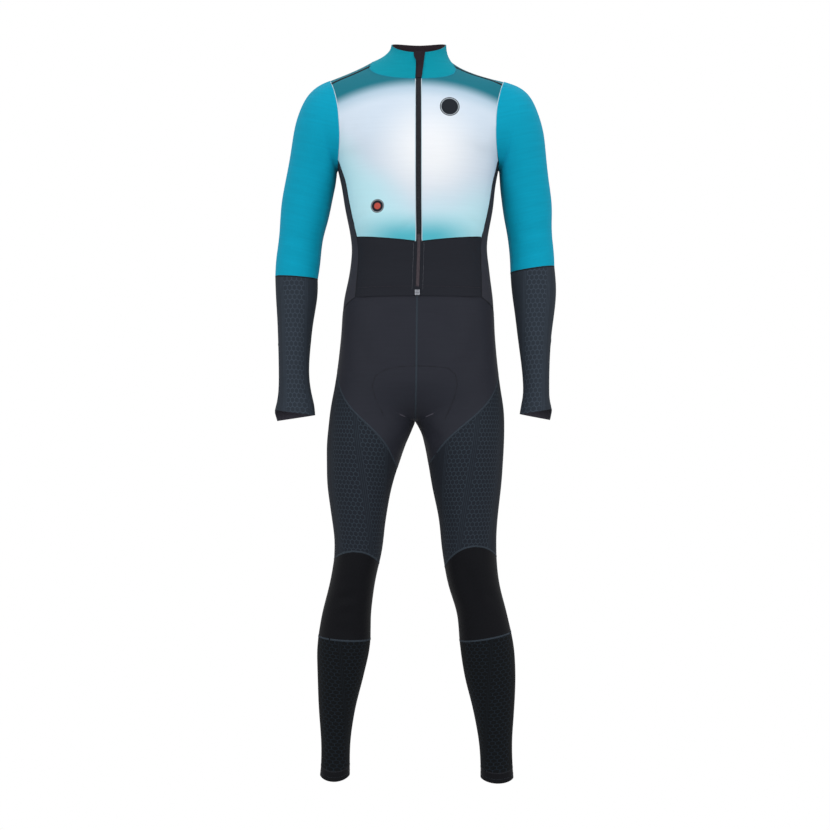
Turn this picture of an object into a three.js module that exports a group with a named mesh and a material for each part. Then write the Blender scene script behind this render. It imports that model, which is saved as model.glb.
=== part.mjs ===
// Cycling skinsuit, filled out as it is worn, with nobody in it.
// Millimetres, +Z up. The front faces -Y, and the wearer's left is +X.
// The origin is the middle of the shoulders, where the wearer carries the suit.
// Every piece is a wall of cloth on one of four surfaces: body, sleeve, collar and zip line.

import * as THREE from 'three';

// Driving dimensions
const WALL = 1.5; // cloth
const THIN_WALL = 1.1; // collar lining and zip guard
const SEAM_GAP = 0.3; // between neighbouring pieces
const ZIP_HALF = 5.6; // half the width of tape that shows

const NECK_BACK = 12; // height of the neck seam at the back
const NECK_DROP = 50; // how far it falls at the front
const COLLAR_BACK = 52; // height of the collar's edge at the back
const COLLAR_DIP = 38; // how far the edge falls at the front
const COLLAR_TOP = { middle: 3.4, half: 53.5, front: 57, back: 60 };

const BAND_TOP = -336; // jersey band, at the side panels
const BAND_DIP = 13; // how far its seam dips at the zip
const HEM = -451; // free hem of the band, which laps over the tights
const HEM_LAP = 18;
const HEM_LIFT = 2; // the hem stands off the tights by this much
const SIDE_POINT = -482; // lowest point of each side panel
const HIP_SEAM = -455; // back panel to seat
const HIP = -600; // the body starts to divide into legs
const CROTCH = -686;
const GROIN_DROP = 60; // the change from trunk to leg ends this much lower away from the middle

const degrees = (angle) => (angle * Math.PI) / 180;
const BAND_TURN = degrees(62); // side panel's front seam at the band's top
const HEM_TURN = degrees(54); // and at the hem
const LAP_TURN = degrees(36); // the tights' hidden edge runs level this far round
const SEAT_TURN = degrees(126); // side panel's back seam at the hip
const NECK_TURN = degrees(75); // front edge of the shoulder tape at the neck
const SIDE_TURN = Math.PI / 2;
const TAPE_AROUND = degrees(14); // the same edge on the armhole
const FRONT_AROUND = degrees(150); // side panel's corners on the armhole
const BACK_AROUND = degrees(210);
const TAPE_STEP = degrees(3); // width of the tape, round the neck and the armhole
const CLIMB = 60; // how far the lines rise that spread the faces of the upper back

// Faces along each seam, so that the pieces on its two sides share its points
const FACES = {
  neckFront: 5, neckBack: 10, shoulder: 4, band: 4, side: 4, collar: 5,
  armholeFront: 7, armholeSide: 6, armholeBack: 8, tights: 6, point: 3, inseam: 4, crotch: 7, rise: 5,
  sleeve: 10, forearm: 7, thigh: 10, knee: 6, calf: 9, ankle: 2, guardWidth: 6, guardHeight: 10,
};

// A table has a row for each section. Its first column is the place, and rows are sorted by it.
function table(names, ...lines) {
  const columns = names.split(' ');
  const rows = lines.map((line) => Object.fromEntries(columns.map((name, i) => [name, line[i]])));
  rows.sort((a, b) => a[columns[0]] - b[columns[0]]);
  return { key: columns[0], rows };
}

// Body: how far it reaches to the wearer's right and left, to the front and to the back,
// where its middle line lies, and how square its section is (2 is an ellipse)
const BODY = table('z right left front back middle square',
  [14, 73, 58, 43, 58, 3.4, 2],
  [0, 97, 74, 51, 68, 3, 2],
  [-14, 126, 101, 58, 77, 2.8, 2],
  [-28, 160, 143, 65, 84, 2.6, 2],
  [-36, 180, 176, 69, 88, 2.5, 2],
  [-44, 193, 194, 74, 91, 2.5, 2.05],
  [-75, 207, 206, 89, 100, 2.5, 2.15],
  [-130, 198, 197, 106, 108, 2.5, 2.3],
  [-160, 182, 182, 111, 108, 2.5, 2.3],
  [-185, 163, 163, 113, 106, 2.5, 2.3],
  [-205, 151, 156, 113.5, 104, 2.5, 2.3],
  [-224, 147, 152, 113, 101, 2.5, 2.3],
  [-286, 137, 145, 108, 91, 2.8, 2.25],
  [-340, 126.5, 135, 103, 85, 3.3, 2.2],
  [-394, 129, 139, 102, 87, 2, 2.2],
  [-455, 141, 146.5, 105, 97, 0, 2.2],
  [-530, 147, 150.5, 107, 114, -0.8, 2.3],
  [-600, 155.5, 157.5, 106, 122, -1.5, 2.3],
  [-660, 166.5, 166.5, 101, 111, -2.8, 2.3],
  [-686, 170, 168.5, 98, 100, -3.5, 2.3],
);

// Legs: distance of the inside and the outside of each leg from x = 0
const LEG_RIGHT = table('z inner outer',
  [-686, 3.5, 170],
  [-702, 9.7, 171.8],
  [-718, 17.4, 173.7],
  [-749, 29, 174],
  [-811, 48.3, 172.5],
  [-872, 59.8, 164],
  [-934, 67.6, 158.5],
  [-996, 81, 168],
  [-1058, 88.8, 183.4],
  [-1119, 91, 193],
  [-1181, 104.2, 193],
  [-1243, 119.7, 191],
  [-1305, 129.3, 187],
  [-1351, 131, 187],
  [-1390, 131, 191],
);
const LEG_LEFT = table('z inner outer',
  [-686, -3.5, 168.5],
  [-702, 5.8, 168],
  [-718, 11.6, 167.9],
  [-749, 18.5, 166.5],
  [-811, 29, 162],
  [-872, 41.5, 155],
  [-934, 48.3, 152.5],
  [-996, 59, 158.3],
  [-1058, 77, 173.7],
  [-1119, 83, 187],
  [-1181, 92.6, 191],
  [-1243, 108, 189],
  [-1305, 119.7, 185.3],
  [-1351, 123.5, 186],
  [-1390, 123.5, 189],
);
const LEG_DEPTH = table('z middle front back',
  [-600, 0, 104, 118],
  [-645, 0, 102, 111],
  [-686, 0, 98, 100],
  [-718, 0, 95, 94],
  [-780, -2, 88, 84],
  [-841, -4, 80, 74],
  [-903, -6, 71, 64],
  [-950, -7, 64, 57],
  [-996, -4, 57, 54],
  [-1057, 4, 52, 56],
  [-1119, 14, 52, 60],
  [-1181, 21, 48, 58],
  [-1243, 26, 42, 50],
  [-1304, 30, 36, 42],
  [-1350, 33, 33, 38],
  [-1390, 35, 34, 39],
);

// Heights of the seams round each leg: at the inseam, at the outside, and what the seam
// rises by at the front and at the back
const LEG_SEAMS = {
  right: {
    thigh: { inner: -775, outer: -585, front: 0, back: 0 },
    kneeTop: { inner: -959, outer: -951, front: 24, back: 0 },
    kneeBottom: { inner: -1107, outer: -1100.7, front: 0, back: 0 },
    ankle: { inner: -1355, outer: -1355, front: -8, back: 6 },
    hem: { inner: -1374, outer: -1374, front: -8, back: 8 },
  },
  left: {
    thigh: { inner: -768, outer: -592, front: 0, back: 0 },
    kneeTop: { inner: -966, outer: -946, front: 34, back: 0 },
    kneeBottom: { inner: -1110, outer: -1092.4, front: 0, back: 0 },
    ankle: { inner: -1359, outer: -1359, front: -7, back: 6 },
    hem: { inner: -1379, outer: -1379, front: -6.5, back: 8 },
  },
};

// Armhole: distance of its seam from x = 0 at each height
const ARMHOLE = table('z right left',
  [-30, 168, 168],
  [-60, 157, 158],
  [-100, 149, 150],
  [-150, 147, 149],
  [-190, 151, 155],
  [-210, 155, 159],
);

// Sleeves: where the inside and the outside of each ring lie. Ring 0 is the armhole,
// ring 10 the seam to the forearm, and the cuff is cut between rings 16 and 17.
const SLEEVE_RIGHT = table('ring innerX innerZ outerX outerZ',
  [1, 154.5, -206, 189.1, -40.5],
  [2, 155, -211.5, 210.4, -59.8],
  [3, 156, -218.5, 225.8, -88.8],
  [4, 157.5, -229, 236.4, -123.5],
  [5, 160.2, -242, 244.1, -169.8],
  [6, 165, -264.4, 252.8, -216.2],
  [7, 172.7, -299.2, 262.5, -270.2],
  [8, 182.4, -335.8, 266.3, -324.2],
  [9, 187.2, -378.3, 272.1, -370.6],
  [10, 192, -412.2, 274.1, -406.5],
  [11, 193, -451.6, 272, -451.6],
  [12, 200.7, -501.8, 268.3, -501.8],
  [13, 204.6, -548, 266.3, -548],
  [14, 206.5, -606, 264.4, -606],
  [15, 198.8, -640.8, 266.3, -640.8],
  [16, 195, -664, 271.2, -664],
  [17, 193, -690, 273, -690],
);
const SLEEVE_LEFT = table('ring innerX innerZ outerX outerZ',
  [1, 158.5, -205.5, 195, -42.5],
  [2, 159, -212, 216, -59.8],
  [3, 159.6, -221, 230.6, -86.9],
  [4, 160.5, -233, 243.2, -127.4],
  [5, 162, -247, 249, -173.7],
  [6, 164.5, -266.3, 254.8, -223.9],
  [7, 168.9, -295.3, 260.6, -270.2],
  [8, 175.6, -332, 260.6, -316.5],
  [9, 179.5, -370.6, 264.4, -359],
  [10, 180.5, -399.5, 265.4, -387],
  [11, 183.4, -440, 268.3, -440],
  [12, 189.7, -490, 262.5, -490],
  [13, 195, -540.4, 255.7, -540.4],
  [14, 202.7, -609.9, 252.8, -609.9],
  [15, 200.7, -640.8, 252.8, -640.8],
  [16, 196.9, -662, 256.7, -662],
  [17, 193, -688, 259, -688],
);
const SLEEVE_DEPTH = table('ring middle front back',
  [1, 0, 71, 71],
  [2, 0, 70, 69],
  [3, 1, 68, 67],
  [4, 3, 65, 64],
  [5, 5, 61, 60],
  [6, 7, 57, 56],
  [7, 9, 53, 51],
  [8, 10, 49, 47],
  [9, 9, 45, 44],
  [10, 6, 43, 42],
  [11, 0, 42, 40],
  [12, -8, 39, 37],
  [13, -18, 35, 33],
  [14, -30, 29, 27],
  [15, -36, 29, 28],
  [16, -40, 31, 30],
  [17, -43, 33, 32],
);
const ELBOW_RING = 10;
const CUFF_RING = 16;

// Zip guard on the collar: its two edges, measured from the zip's middle, up the collar
const GUARD = table('up low high',
  [0.02, -3.2, 6],
  [0.12, -4.2, 6.8],
  [0.35, -2.6, 7.9],
  [0.53, -1.5, 9],
  [0.67, -5, 9.6],
  [0.82, -8.8, 10.5],
  [1.03, -9.7, 11.8],
);
const GUARD_SWELL = { up: 0.83, height: 2.7 }; // where the top of the zip lies under it
const ZIP_BOX = { width: 9, height: 10.6, thick: 1.6, z: -445 };

// Cloth and metal
const cloth = (color, roughness = 0.85) => (
  new THREE.MeshStandardMaterial({ color, roughness, metalness: 0 })
);
const FINISH = {
  chest: cloth('#dce3f0'), teal: cloth('#0098b0'), collar: cloth('#009fb5'), lining: cloth('#2e262c'),
  jersey: cloth('#2c2f37'), side: cloth('#3a3b44'), tights: cloth('#24262d'), honeycomb: cloth('#252b33'),
  calf: cloth('#11161c'), knee: cloth('#1a1a20'), tape: cloth('#17181c'), zip: cloth('#2b2a30', 0.6),
  metal: new THREE.MeshStandardMaterial({ color: '#6b6e76', roughness: 0.4, metalness: 1 }),
};

const { lerp, clamp, smoothstep } = THREE.MathUtils;

// A smooth curve through one column of a table, level beyond its ends
function read({ key, rows }, column, at) {
  const last = rows.length - 1;
  const above = rows.findIndex((row) => row[key] > at);
  const i = clamp((above < 0 ? last : above) - 1, 0, last - 1);
  const slope = (j) => {
    const from = rows[Math.max(j - 1, 0)];
    const to = rows[Math.min(j + 1, last)];
    return (to[column] - from[column]) / (to[key] - from[key]);
  };
  const step = rows[i + 1][key] - rows[i][key];
  const t = clamp((at - rows[i][key]) / step, 0, 1);
  const level = lerp(rows[i][column], rows[i + 1][column], t * t * (3 - 2 * t));
  return level + step * (slope(i) * t * (1 - t) ** 2 - slope(i + 1) * t * t * (1 - t));
}

const nameOf = (side) => (side > 0 ? 'left' : 'right');

// Half the body's width from its middle line, on the side that x or a sine points to
function halfWidth(z, direction) {
  const middle = read(BODY, 'middle', z);
  return direction > 0 ? read(BODY, 'left', z) - middle : read(BODY, 'right', z) + middle;
}

// Point of the trunk at a turn from the middle of the front, positive to the wearer's left
function trunk(turn, z) {
  const across = Math.sin(turn);
  const ahead = Math.cos(turn);
  const square = read(BODY, 'square', z);
  const reach = (Math.abs(across) ** square + Math.abs(ahead) ** square) ** (-1 / square);
  const depth = read(BODY, ahead > 0 ? 'front' : 'back', z);
  const x = read(BODY, 'middle', z) + reach * across * halfWidth(z, across);
  return new THREE.Vector3(x, -reach * ahead * depth, z);
}

// The turn, 0 to half a circle, at which the trunk has the given x
function turnAt(z, x, behind = false) {
  const offset = x - read(BODY, 'middle', z);
  const square = read(BODY, 'square', z);
  const across = Math.min(1, Math.abs(offset) / halfWidth(z, offset));
  const turn = Math.atan2(across, (1 - across ** square) ** (1 / square));
  return behind ? Math.PI - turn : turn;
}

// The number nearest to where a test turns false, between one that passes it and one that fails
function border(passes, pass, fail) {
  let [inside, outside] = [pass, fail];
  for (let i = 0; i < 40; i += 1) {
    const middle = (inside + outside) / 2;
    if (passes(middle)) inside = middle;
    else outside = middle;
  }
  return inside;
}

// Turn and height where a line from the trunk's middle leaves it, on its way through a point.
// The line climbs at the top of the back, because the shoulders are nearly level there.
function leaveTrunk([x, y, z]) {
  const middle = read(BODY, 'middle', z);
  const climb = CLIMB * smoothstep(z, -80, -10) * smoothstep(y, 0, 30);
  const shares = (step) => {
    const height = z + (step - 1) * climb;
    const offset = middle + step * (x - middle) - read(BODY, 'middle', height);
    const depth = read(BODY, y < 0 ? 'front' : 'back', height);
    return [offset / halfWidth(height, offset), (-step * y) / depth, height];
  };
  const isInside = (step) => {
    const [across, ahead, height] = shares(step);
    const square = read(BODY, 'square', height);
    return Math.abs(across) ** square + Math.abs(ahead) ** square < 1;
  };
  const [across, ahead, height] = shares(border(isInside, 0.3, 2));
  return [Math.atan2(across, ahead), height];
}

// Point of a leg: the turn goes from the inseam over the front, the outside and the back.
// Above the crotch the inside is the body's middle and the outside is that of the trunk.
function legTube(side, turn, z) {
  const widths = side > 0 ? LEG_LEFT : LEG_RIGHT;
  const middle = side * read(BODY, 'middle', z);
  const inner = z > CROTCH ? middle : read(widths, 'inner', z);
  const outer = z > CROTCH ? middle + halfWidth(z, side) : read(widths, 'outer', z);
  const ahead = Math.sin(2 * turn);
  const depth = read(LEG_DEPTH, ahead > 0 ? 'front' : 'back', z);
  const out = (inner + outer) / 2 - ((outer - inner) / 2) * Math.cos(2 * turn);
  return new THREE.Vector3(side * out, read(LEG_DEPTH, 'middle', z) - ahead * depth, z);
}

// Point of one half of the body, trunk and leg. Between hip and crotch the half section
// closes into the leg: along a quarter of an ellipse at the middle of the front and back,
// and more softly and lower down away from it.
function body(side, turn, z) {
  if (z >= HIP) return trunk(side * turn, z);
  const fromMiddle = Math.min(Math.abs(turn), Math.abs(Math.PI - turn));
  const away = smoothstep(fromMiddle, 0, degrees(40));
  const foot = CROTCH - GROIN_DROP * away;
  const leg = legTube(side, turn, z);
  if (z <= foot) return leg;
  const down = (HIP - z) / (HIP - foot);
  return trunk(side * turn, z).lerp(leg, 1 - (1 - down * down) ** (0.5 + 1.5 * away));
}

// The armhole's highest and lowest points: where the body is as wide as the seam
function armholeEnd(side, low, high) {
  const past = (z) => halfWidth(z, side) + side * read(BODY, 'middle', z) - read(ARMHOLE, nameOf(side), z);
  return border((z) => past(z) > 0, ...(past(low) > 0 ? [low, high] : [high, low]));
}
const ARMHOLE_ENDS = Object.fromEntries([-1, 1].map((side) => (
  [nameOf(side), { top: armholeEnd(side, -60, -20), bottom: armholeEnd(side, -215, -150) }]
)));

// Turn and height of the armhole seam, going round from its top over the front
function armhole(side, around) {
  const { top, bottom } = ARMHOLE_ENDS[nameOf(side)];
  const z = (top + bottom) / 2 + ((top - bottom) / 2) * Math.cos(around);
  return [turnAt(z, side * read(ARMHOLE, nameOf(side), z), Math.sin(around) < 0), z];
}

// Point of a sleeve: a smooth loft over its rings, from the armhole down
function sleeve(side, around, ring) {
  const rings = side > 0 ? SLEEVE_LEFT : SLEEVE_RIGHT;
  const ahead = Math.sin(around);
  const ringPoint = (n) => {
    if (n === 0) {
      const [turn, z] = armhole(side, around);
      return trunk(side * turn, z);
    }
    const out = (1 + Math.cos(around)) / 2;
    const x = lerp(read(rings, 'innerX', n), read(rings, 'outerX', n), out);
    const z = lerp(read(rings, 'innerZ', n), read(rings, 'outerZ', n), out);
    const depth = read(SLEEVE_DEPTH, ahead > 0 ? 'front' : 'back', n);
    return new THREE.Vector3(side * x, read(SLEEVE_DEPTH, 'middle', n) - ahead * depth, z);
  };
  const first = clamp(Math.floor(ring), 0, CUFF_RING);
  const [b, c] = [ringPoint(first), ringPoint(first + 1)];
  const a = first > 0 ? ringPoint(first - 1) : b.clone().multiplyScalar(2).sub(c);
  const d = first < CUFF_RING ? ringPoint(first + 2) : c.clone().multiplyScalar(2).sub(b);
  const path = new THREE.CatmullRomCurve3([a, b, c, d], false, 'catmullrom', 0.5);
  return path.getPoint((1 + ring - first) / 3);
}

// Cuff: the back of the wrist reaches lower than the palm side
function cuffRing(around) {
  const turn = ((around % (2 * Math.PI)) + 2 * Math.PI) % (2 * Math.PI);
  if (turn < Math.PI) return CUFF_RING + 0.2 * (1 - Math.cos(turn));
  const returning = smoothstep(2 * Math.PI - turn, 0, 0.45);
  return CUFF_RING + (0.4 + 0.225 * (1 + Math.cos(turn))) * returning;
}

// Neck seam, and the collar that rises from it and leans in
const neckline = (turn) => NECK_BACK - NECK_DROP * ((1 + Math.cos(turn)) / 2) ** 4;
const collarEdge = (turn) => COLLAR_BACK - COLLAR_DIP * ((1 + Math.cos(turn)) / 2) ** 1.66;

function collar(turn, up) {
  const base = trunk(turn, neckline(turn));
  const depth = Math.cos(turn) > 0 ? COLLAR_TOP.front : COLLAR_TOP.back;
  const x = COLLAR_TOP.middle + COLLAR_TOP.half * Math.sin(turn);
  const y = -depth * Math.cos(turn);
  const lean = 1 - (1 - up) ** 2;
  return new THREE.Vector3(
    lerp(base.x, x, lean), lerp(base.y, y, lean), lerp(base.z, collarEdge(turn), up),
  );
}

// The turn on the collar that lies the given distance from the zip's middle
function collarTurn(distance, up) {
  const lean = 1 - (1 - up) ** 2;
  return Math.asin(distance / lerp(halfWidth(neckline(0), distance), COLLAR_TOP.half, lean));
}

// Zip line: a strip up the middle of the front, on the body and then on the collar
function zipLine(distance, z) {
  const neck = neckline(0);
  if (z > neck) {
    const up = (z - neck) / (collarEdge(0) - neck);
    return collar(collarTurn(distance, up), up);
  }
  const x = read(BODY, 'middle', z) + distance;
  return trunk(Math.sign(distance) * turnAt(z, x), z);
}

// A surface gives points and the way out of the cloth, from small steps along its two measures
function surface(point, sign, stepA, stepB, fallback) {
  const out = (a, b) => {
    const along = point(a + stepA, b).sub(point(a - stepA, b)).normalize();
    const up = point(a, b + stepB).sub(point(a, b - stepB)).normalize();
    const normal = along.cross(up).multiplyScalar(sign);
    return normal.length() < 0.1 ? fallback.clone() : normal.normalize();
  };
  return { point, out };
}

// Both sides of a seam lean alike where the surfaces meet at an open angle
function shareSeam(own, other) {
  const share = clamp((own.dot(other) - 0.3) / 0.5, 0, 1);
  return own.clone().lerp(own.clone().add(other).multiplyScalar(0.5), share).normalize();
}

const plainTrunk = surface(trunk, 1, 1e-3, 0.2);
const plainSleeve = {
  right: surface((around, ring) => sleeve(-1, around, ring), -1, 1e-3, 1e-3),
  left: surface((around, ring) => sleeve(1, around, ring), 1, 1e-3, 1e-3),
};

// Where a point of the trunk lies on the armhole seam, its way out is shared with the sleeve
function trunkOut(turn, z) {
  const own = plainTrunk.out(turn, z);
  const side = Math.sin(turn) > 0 ? 1 : -1;
  const { top, bottom } = ARMHOLE_ENDS[nameOf(side)];
  const point = trunk(turn, z);
  const reach = read(ARMHOLE, nameOf(side), z);
  if (z > top + 0.01 || z < bottom - 0.01 || Math.abs(side * point.x - reach) > 0.05) return own;
  const height = clamp((2 * z - top - bottom) / (top - bottom), -1, 1);
  const around = Math.acos(height) * (point.y > 0 ? -1 : 1);
  return shareSeam(own, plainSleeve[nameOf(side)].out(around, 0));
}

const trunkSurface = { point: trunk, out: trunkOut };

function bodySurface(side) {
  const between = new THREE.Vector3(-side, 0, -1).normalize();
  const plain = surface((turn, z) => body(side, turn, z), side, 1e-3, 0.2, between);
  const out = (turn, z) => (z > HIP_SEAM ? trunkOut(side * turn, z) : plain.out(turn, z));
  return { point: plain.point, out };
}

function sleeveSurface(side) {
  const plain = plainSleeve[nameOf(side)];
  const out = (around, ring) => {
    const own = plain.out(around, ring);
    if (ring > 0) return own;
    const [turn, z] = armhole(side, around);
    return shareSeam(own, plainTrunk.out(side * turn, z));
  };
  return { point: plain.point, out };
}

const collarSurface = surface(collar, 1, 1e-3, 1e-3);
const zipSurface = surface(zipLine, 1, 0.5, 0.5);

// Steps along an edge, as places on a surface
const run = (from, to, steps, place) => (
  Array.from({ length: steps + 1 }, (_, i) => place(lerp(from, to, i / steps)))
);
const line = (from, to, steps) => (
  run(0, 1, steps, (t) => [lerp(from[0], to[0], t), lerp(from[1], to[1], t)])
);
const chain = (first, ...others) => others.reduce((edge, next) => [...edge, ...next.slice(1)], first);

// Places inside four edges. Bottom and top run one way, left and right run up.
function fill(bottom, top, left, right) {
  const [columns, rows] = [bottom.length - 1, left.length - 1];
  const between = (i, j, axis) => {
    const [u, v] = [i / columns, j / rows];
    const ruled = lerp(bottom[i][axis], top[i][axis], v) + lerp(left[j][axis], right[j][axis], u);
    const low = lerp(bottom[0][axis], bottom[columns][axis], u);
    const high = lerp(top[0][axis], top[columns][axis], u);
    return ruled - lerp(low, high, v);
  };
  return left.map((_, j) => bottom.map((place, i) => place.map((__, axis) => between(i, j, axis))));
}

// Places on the trunk inside four edges, spread evenly in space and then moved out onto it
function fillTrunk(side, ...edges) {
  const inSpace = edges.map((edge) => edge.map(([turn, z]) => trunk(side * turn, z).toArray()));
  return fill(...inSpace).map((row) => row.map((point) => {
    const [turn, z] = leaveTrunk(point);
    return [side * turn < 0 ? side * turn + 2 * Math.PI : side * turn, z];
  }));
}

// Places between two rings round a tube
function wrap(turns, low, high, rows) {
  return run(0, 1, rows, (v) => turns.map((turn) => [turn, lerp(low(turn), high(turn), v)]));
}

// Each free or sewn edge draws back by half a seam gap
function drawIn(points, closed) {
  const [top, end] = [points.length - 1, points[0].length - 1];
  const moved = points.map((row) => row.map((point) => point.clone()));
  const shift = (point, before, after, inside) => {
    const along = after.clone().sub(before).normalize();
    const inwards = inside.clone().sub(point);
    return inwards.addScaledVector(along, -inwards.dot(along)).setLength(SEAM_GAP / 2);
  };
  const near = (i, step) => (closed ? (i + step + end + 1) % (end + 1) : clamp(i + step, 0, end));
  [[0, 1], [top, top - 1]].forEach(([j, inner]) => points[j].forEach((point, i) => {
    moved[j][i].add(shift(point, points[j][near(i, -1)], points[j][near(i, 1)], points[inner][i]));
  }));
  if (closed) return moved;
  [[0, 1], [end, end - 1]].forEach(([i, inner]) => points.forEach((row, j) => {
    const [below, above] = [points[Math.max(j - 1, 0)][i], points[Math.min(j + 1, top)][i]];
    moved[j][i].add(shift(row[i], below, above, row[inner]));
  }));
  return moved;
}

// A closed wall between an outside and an inside grid of points. All faces of a piece are
// split the same way, along the diagonals that are shorter on the whole.
function wall(outside, inside, closed) {
  const [rows, columns] = [outside.length, outside[0].length];
  const points = [...outside, ...inside].flat();
  const at = (j, i, layer) => layer * rows * columns + j * columns + (i % columns);
  const faces = [];
  const quad = (a, b, c, d) => faces.push(a, b, c, a, c, d);
  const [top, end] = [rows - 1, columns - 1];
  const width = closed ? columns : end;
  const corners = (j, i) => [[j, i], [j, i + 1], [j + 1, i + 1], [j + 1, i]];
  const longer = (j, i) => {
    const [a, b, c, d] = corners(j, i).map(([row, column]) => points[at(row, column, 0)]);
    return a.distanceTo(c) - b.distanceTo(d);
  };
  const cells = Array.from({ length: top * width }, (_, k) => [Math.floor(k / width), k % width]);
  const slant = cells.reduce((sum, [j, i]) => sum + longer(j, i), 0) > 0;
  cells.forEach(([j, i]) => {
    const [a, b, c, d] = corners(j, i);
    const turned = slant ? [b, c, d, a] : [a, b, c, d];
    quad(...turned.map(([row, column]) => at(row, column, 0)));
    const [e, f, g, h] = turned.map(([row, column]) => at(row, column, 1));
    quad(e, h, g, f);
  });
  for (let i = 0; i < width; i += 1) {
    quad(at(0, i + 1, 0), at(0, i, 0), at(0, i, 1), at(0, i + 1, 1));
    quad(at(top, i, 0), at(top, i + 1, 0), at(top, i + 1, 1), at(top, i, 1));
  }
  for (let j = 0; j < top && !closed; j += 1) {
    quad(at(j, 0, 0), at(j + 1, 0, 0), at(j + 1, 0, 1), at(j, 0, 1));
    quad(at(j + 1, end, 0), at(j, end, 0), at(j, end, 1), at(j + 1, end, 1));
  }
  return { points, faces };
}

function volumeOf({ points, faces }) {
  let volume = 0;
  for (let i = 0; i < faces.length; i += 3) {
    const [a, b, c] = [points[faces[i]], points[faces[i + 1]], points[faces[i + 2]]];
    volume += a.dot(b.clone().cross(c)) / 6;
  }
  return volume;
}

// One cut piece of cloth on a surface, lifted off it where it lies over another
function piece(name, finish, { point, out }, grid, { closed = false, thick = WALL, lift = () => 0 } = {}) {
  const ways = grid.map((row) => row.map(([a, b]) => out(a, b)));
  const offset = (points, amount) => points.map((row, j) => (
    row.map((place, i) => place.clone().addScaledVector(ways[j][i], amount(...grid[j][i])))
  ));
  const flat = grid.map((row) => row.map(([a, b]) => point(a, b)));
  const outside = drawIn(offset(flat, lift), closed);
  const solid = wall(outside, offset(outside, () => -thick), closed);
  if (volumeOf(solid) < 0) solid.faces.reverse();
  const geometry = new THREE.BufferGeometry().setFromPoints(solid.points);
  geometry.setIndex(solid.faces);
  geometry.computeVertexNormals();
  const mesh = new THREE.Mesh(geometry, finish);
  mesh.name = name;
  return mesh;
}

// Seams of the trunk, as places (turn, height) on one half of the body
const zipEdge = (side) => (z) => [turnAt(z, read(BODY, 'middle', z) + side * ZIP_HALF), z];
const bandSeam = (turn) => [turn, BAND_TOP - BAND_DIP * (1 - turn / BAND_TURN) ** 1.3];
const neckSeam = (turn) => [turn, neckline(turn)];
const bandSide = line([HEM_TURN, HEM], [BAND_TURN, BAND_TOP], FACES.band);
const sideFront = (side) => line([BAND_TURN, BAND_TOP], armhole(side, FRONT_AROUND), FACES.side);
const sideBack = (side) => (
  line([SEAT_TURN, HIP_SEAM], armhole(side, BACK_AROUND), FACES.band + FACES.side)
);
const shoulderLine = (side, shift) => (
  line(neckSeam(NECK_TURN + shift), armhole(side, TAPE_AROUND - shift), FACES.shoulder)
);
const armholeRun = (side, from, to, steps) => run(from, to, steps, (around) => armhole(side, around));

// The hem stands off the tights, and is sewn down again at the side panel
const hemLift = (turn, z) => (
  HEM_LIFT * smoothstep(-z, -HEM - 46, -HEM - 22) * smoothstep(HEM_TURN - turn, 0, degrees(8))
);

function chest(side) {
  const start = zipEdge(side)(bandSeam(0)[1]);
  const end = zipEdge(side)(neckline(0));
  const grid = fillTrunk(
    side,
    run(start[0], BAND_TURN, FACES.neckFront + FACES.shoulder, bandSeam),
    chain(run(end[0], NECK_TURN, FACES.neckFront, neckSeam), shoulderLine(side, 0)),
    run(start[1], end[1], FACES.side + FACES.armholeFront, zipEdge(side)),
    chain(sideFront(side), armholeRun(side, FRONT_AROUND, TAPE_AROUND, FACES.armholeFront)),
  );
  return piece(`chest_${nameOf(side)}`, FINISH.chest, bodySurface(side), grid);
}

function frontBand(side) {
  const top = zipEdge(side)(bandSeam(0)[1]);
  const bottom = zipEdge(side)(HEM);
  const grid = fill(
    line(bottom, [HEM_TURN, HEM], FACES.neckFront + FACES.shoulder),
    run(top[0], BAND_TURN, FACES.neckFront + FACES.shoulder, bandSeam),
    run(HEM, top[1], FACES.band, zipEdge(side)),
    bandSide,
  );
  return piece(`front_band_${nameOf(side)}`, FINISH.jersey, bodySurface(side), grid, { lift: hemLift });
}

function sidePanel(side) {
  const point = [SIDE_TURN, SIDE_POINT];
  const grid = fill(
    chain(
      line([HEM_TURN, HEM], point, FACES.point),
      line(point, [SEAT_TURN, HIP_SEAM], FACES.point),
    ),
    armholeRun(side, FRONT_AROUND, BACK_AROUND, FACES.armholeSide),
    chain(bandSide, sideFront(side)),
    sideBack(side),
  );
  return piece(`side_${nameOf(side)}`, FINISH.side, bodySurface(side), grid);
}

// The back is one piece, so its turns run on past half a circle to the wearer's right
function backPanel() {
  const tapeTurn = NECK_TURN + TAPE_STEP;
  const across = FACES.neckBack + 2 * FACES.shoulder;
  const onRight = (edge) => edge.map(([turn, z]) => [2 * Math.PI - turn, z]);
  const rim = (side) => chain(
    sideBack(side),
    armholeRun(side, BACK_AROUND, 2 * Math.PI + TAPE_AROUND - TAPE_STEP, FACES.armholeBack),
  );
  const grid = fillTrunk(
    1,
    line([SEAT_TURN, HIP_SEAM], [2 * Math.PI - SEAT_TURN, HIP_SEAM], across),
    chain(
      shoulderLine(1, TAPE_STEP).reverse(),
      run(tapeTurn, 2 * Math.PI - tapeTurn, FACES.neckBack, neckSeam),
      onRight(shoulderLine(-1, TAPE_STEP)),
    ),
    rim(1),
    onRight(rim(-1)),
  );
  return piece('back', FINISH.teal, trunkSurface, grid);
}

function shoulderTape(side) {
  const front = shoulderLine(side, 0);
  const back = shoulderLine(side, TAPE_STEP);
  const grid = front.map((place, j) => [place, back[j]]);
  return piece(`shoulder_tape_${nameOf(side)}`, FINISH.tape, bodySurface(side), grid);
}

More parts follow.
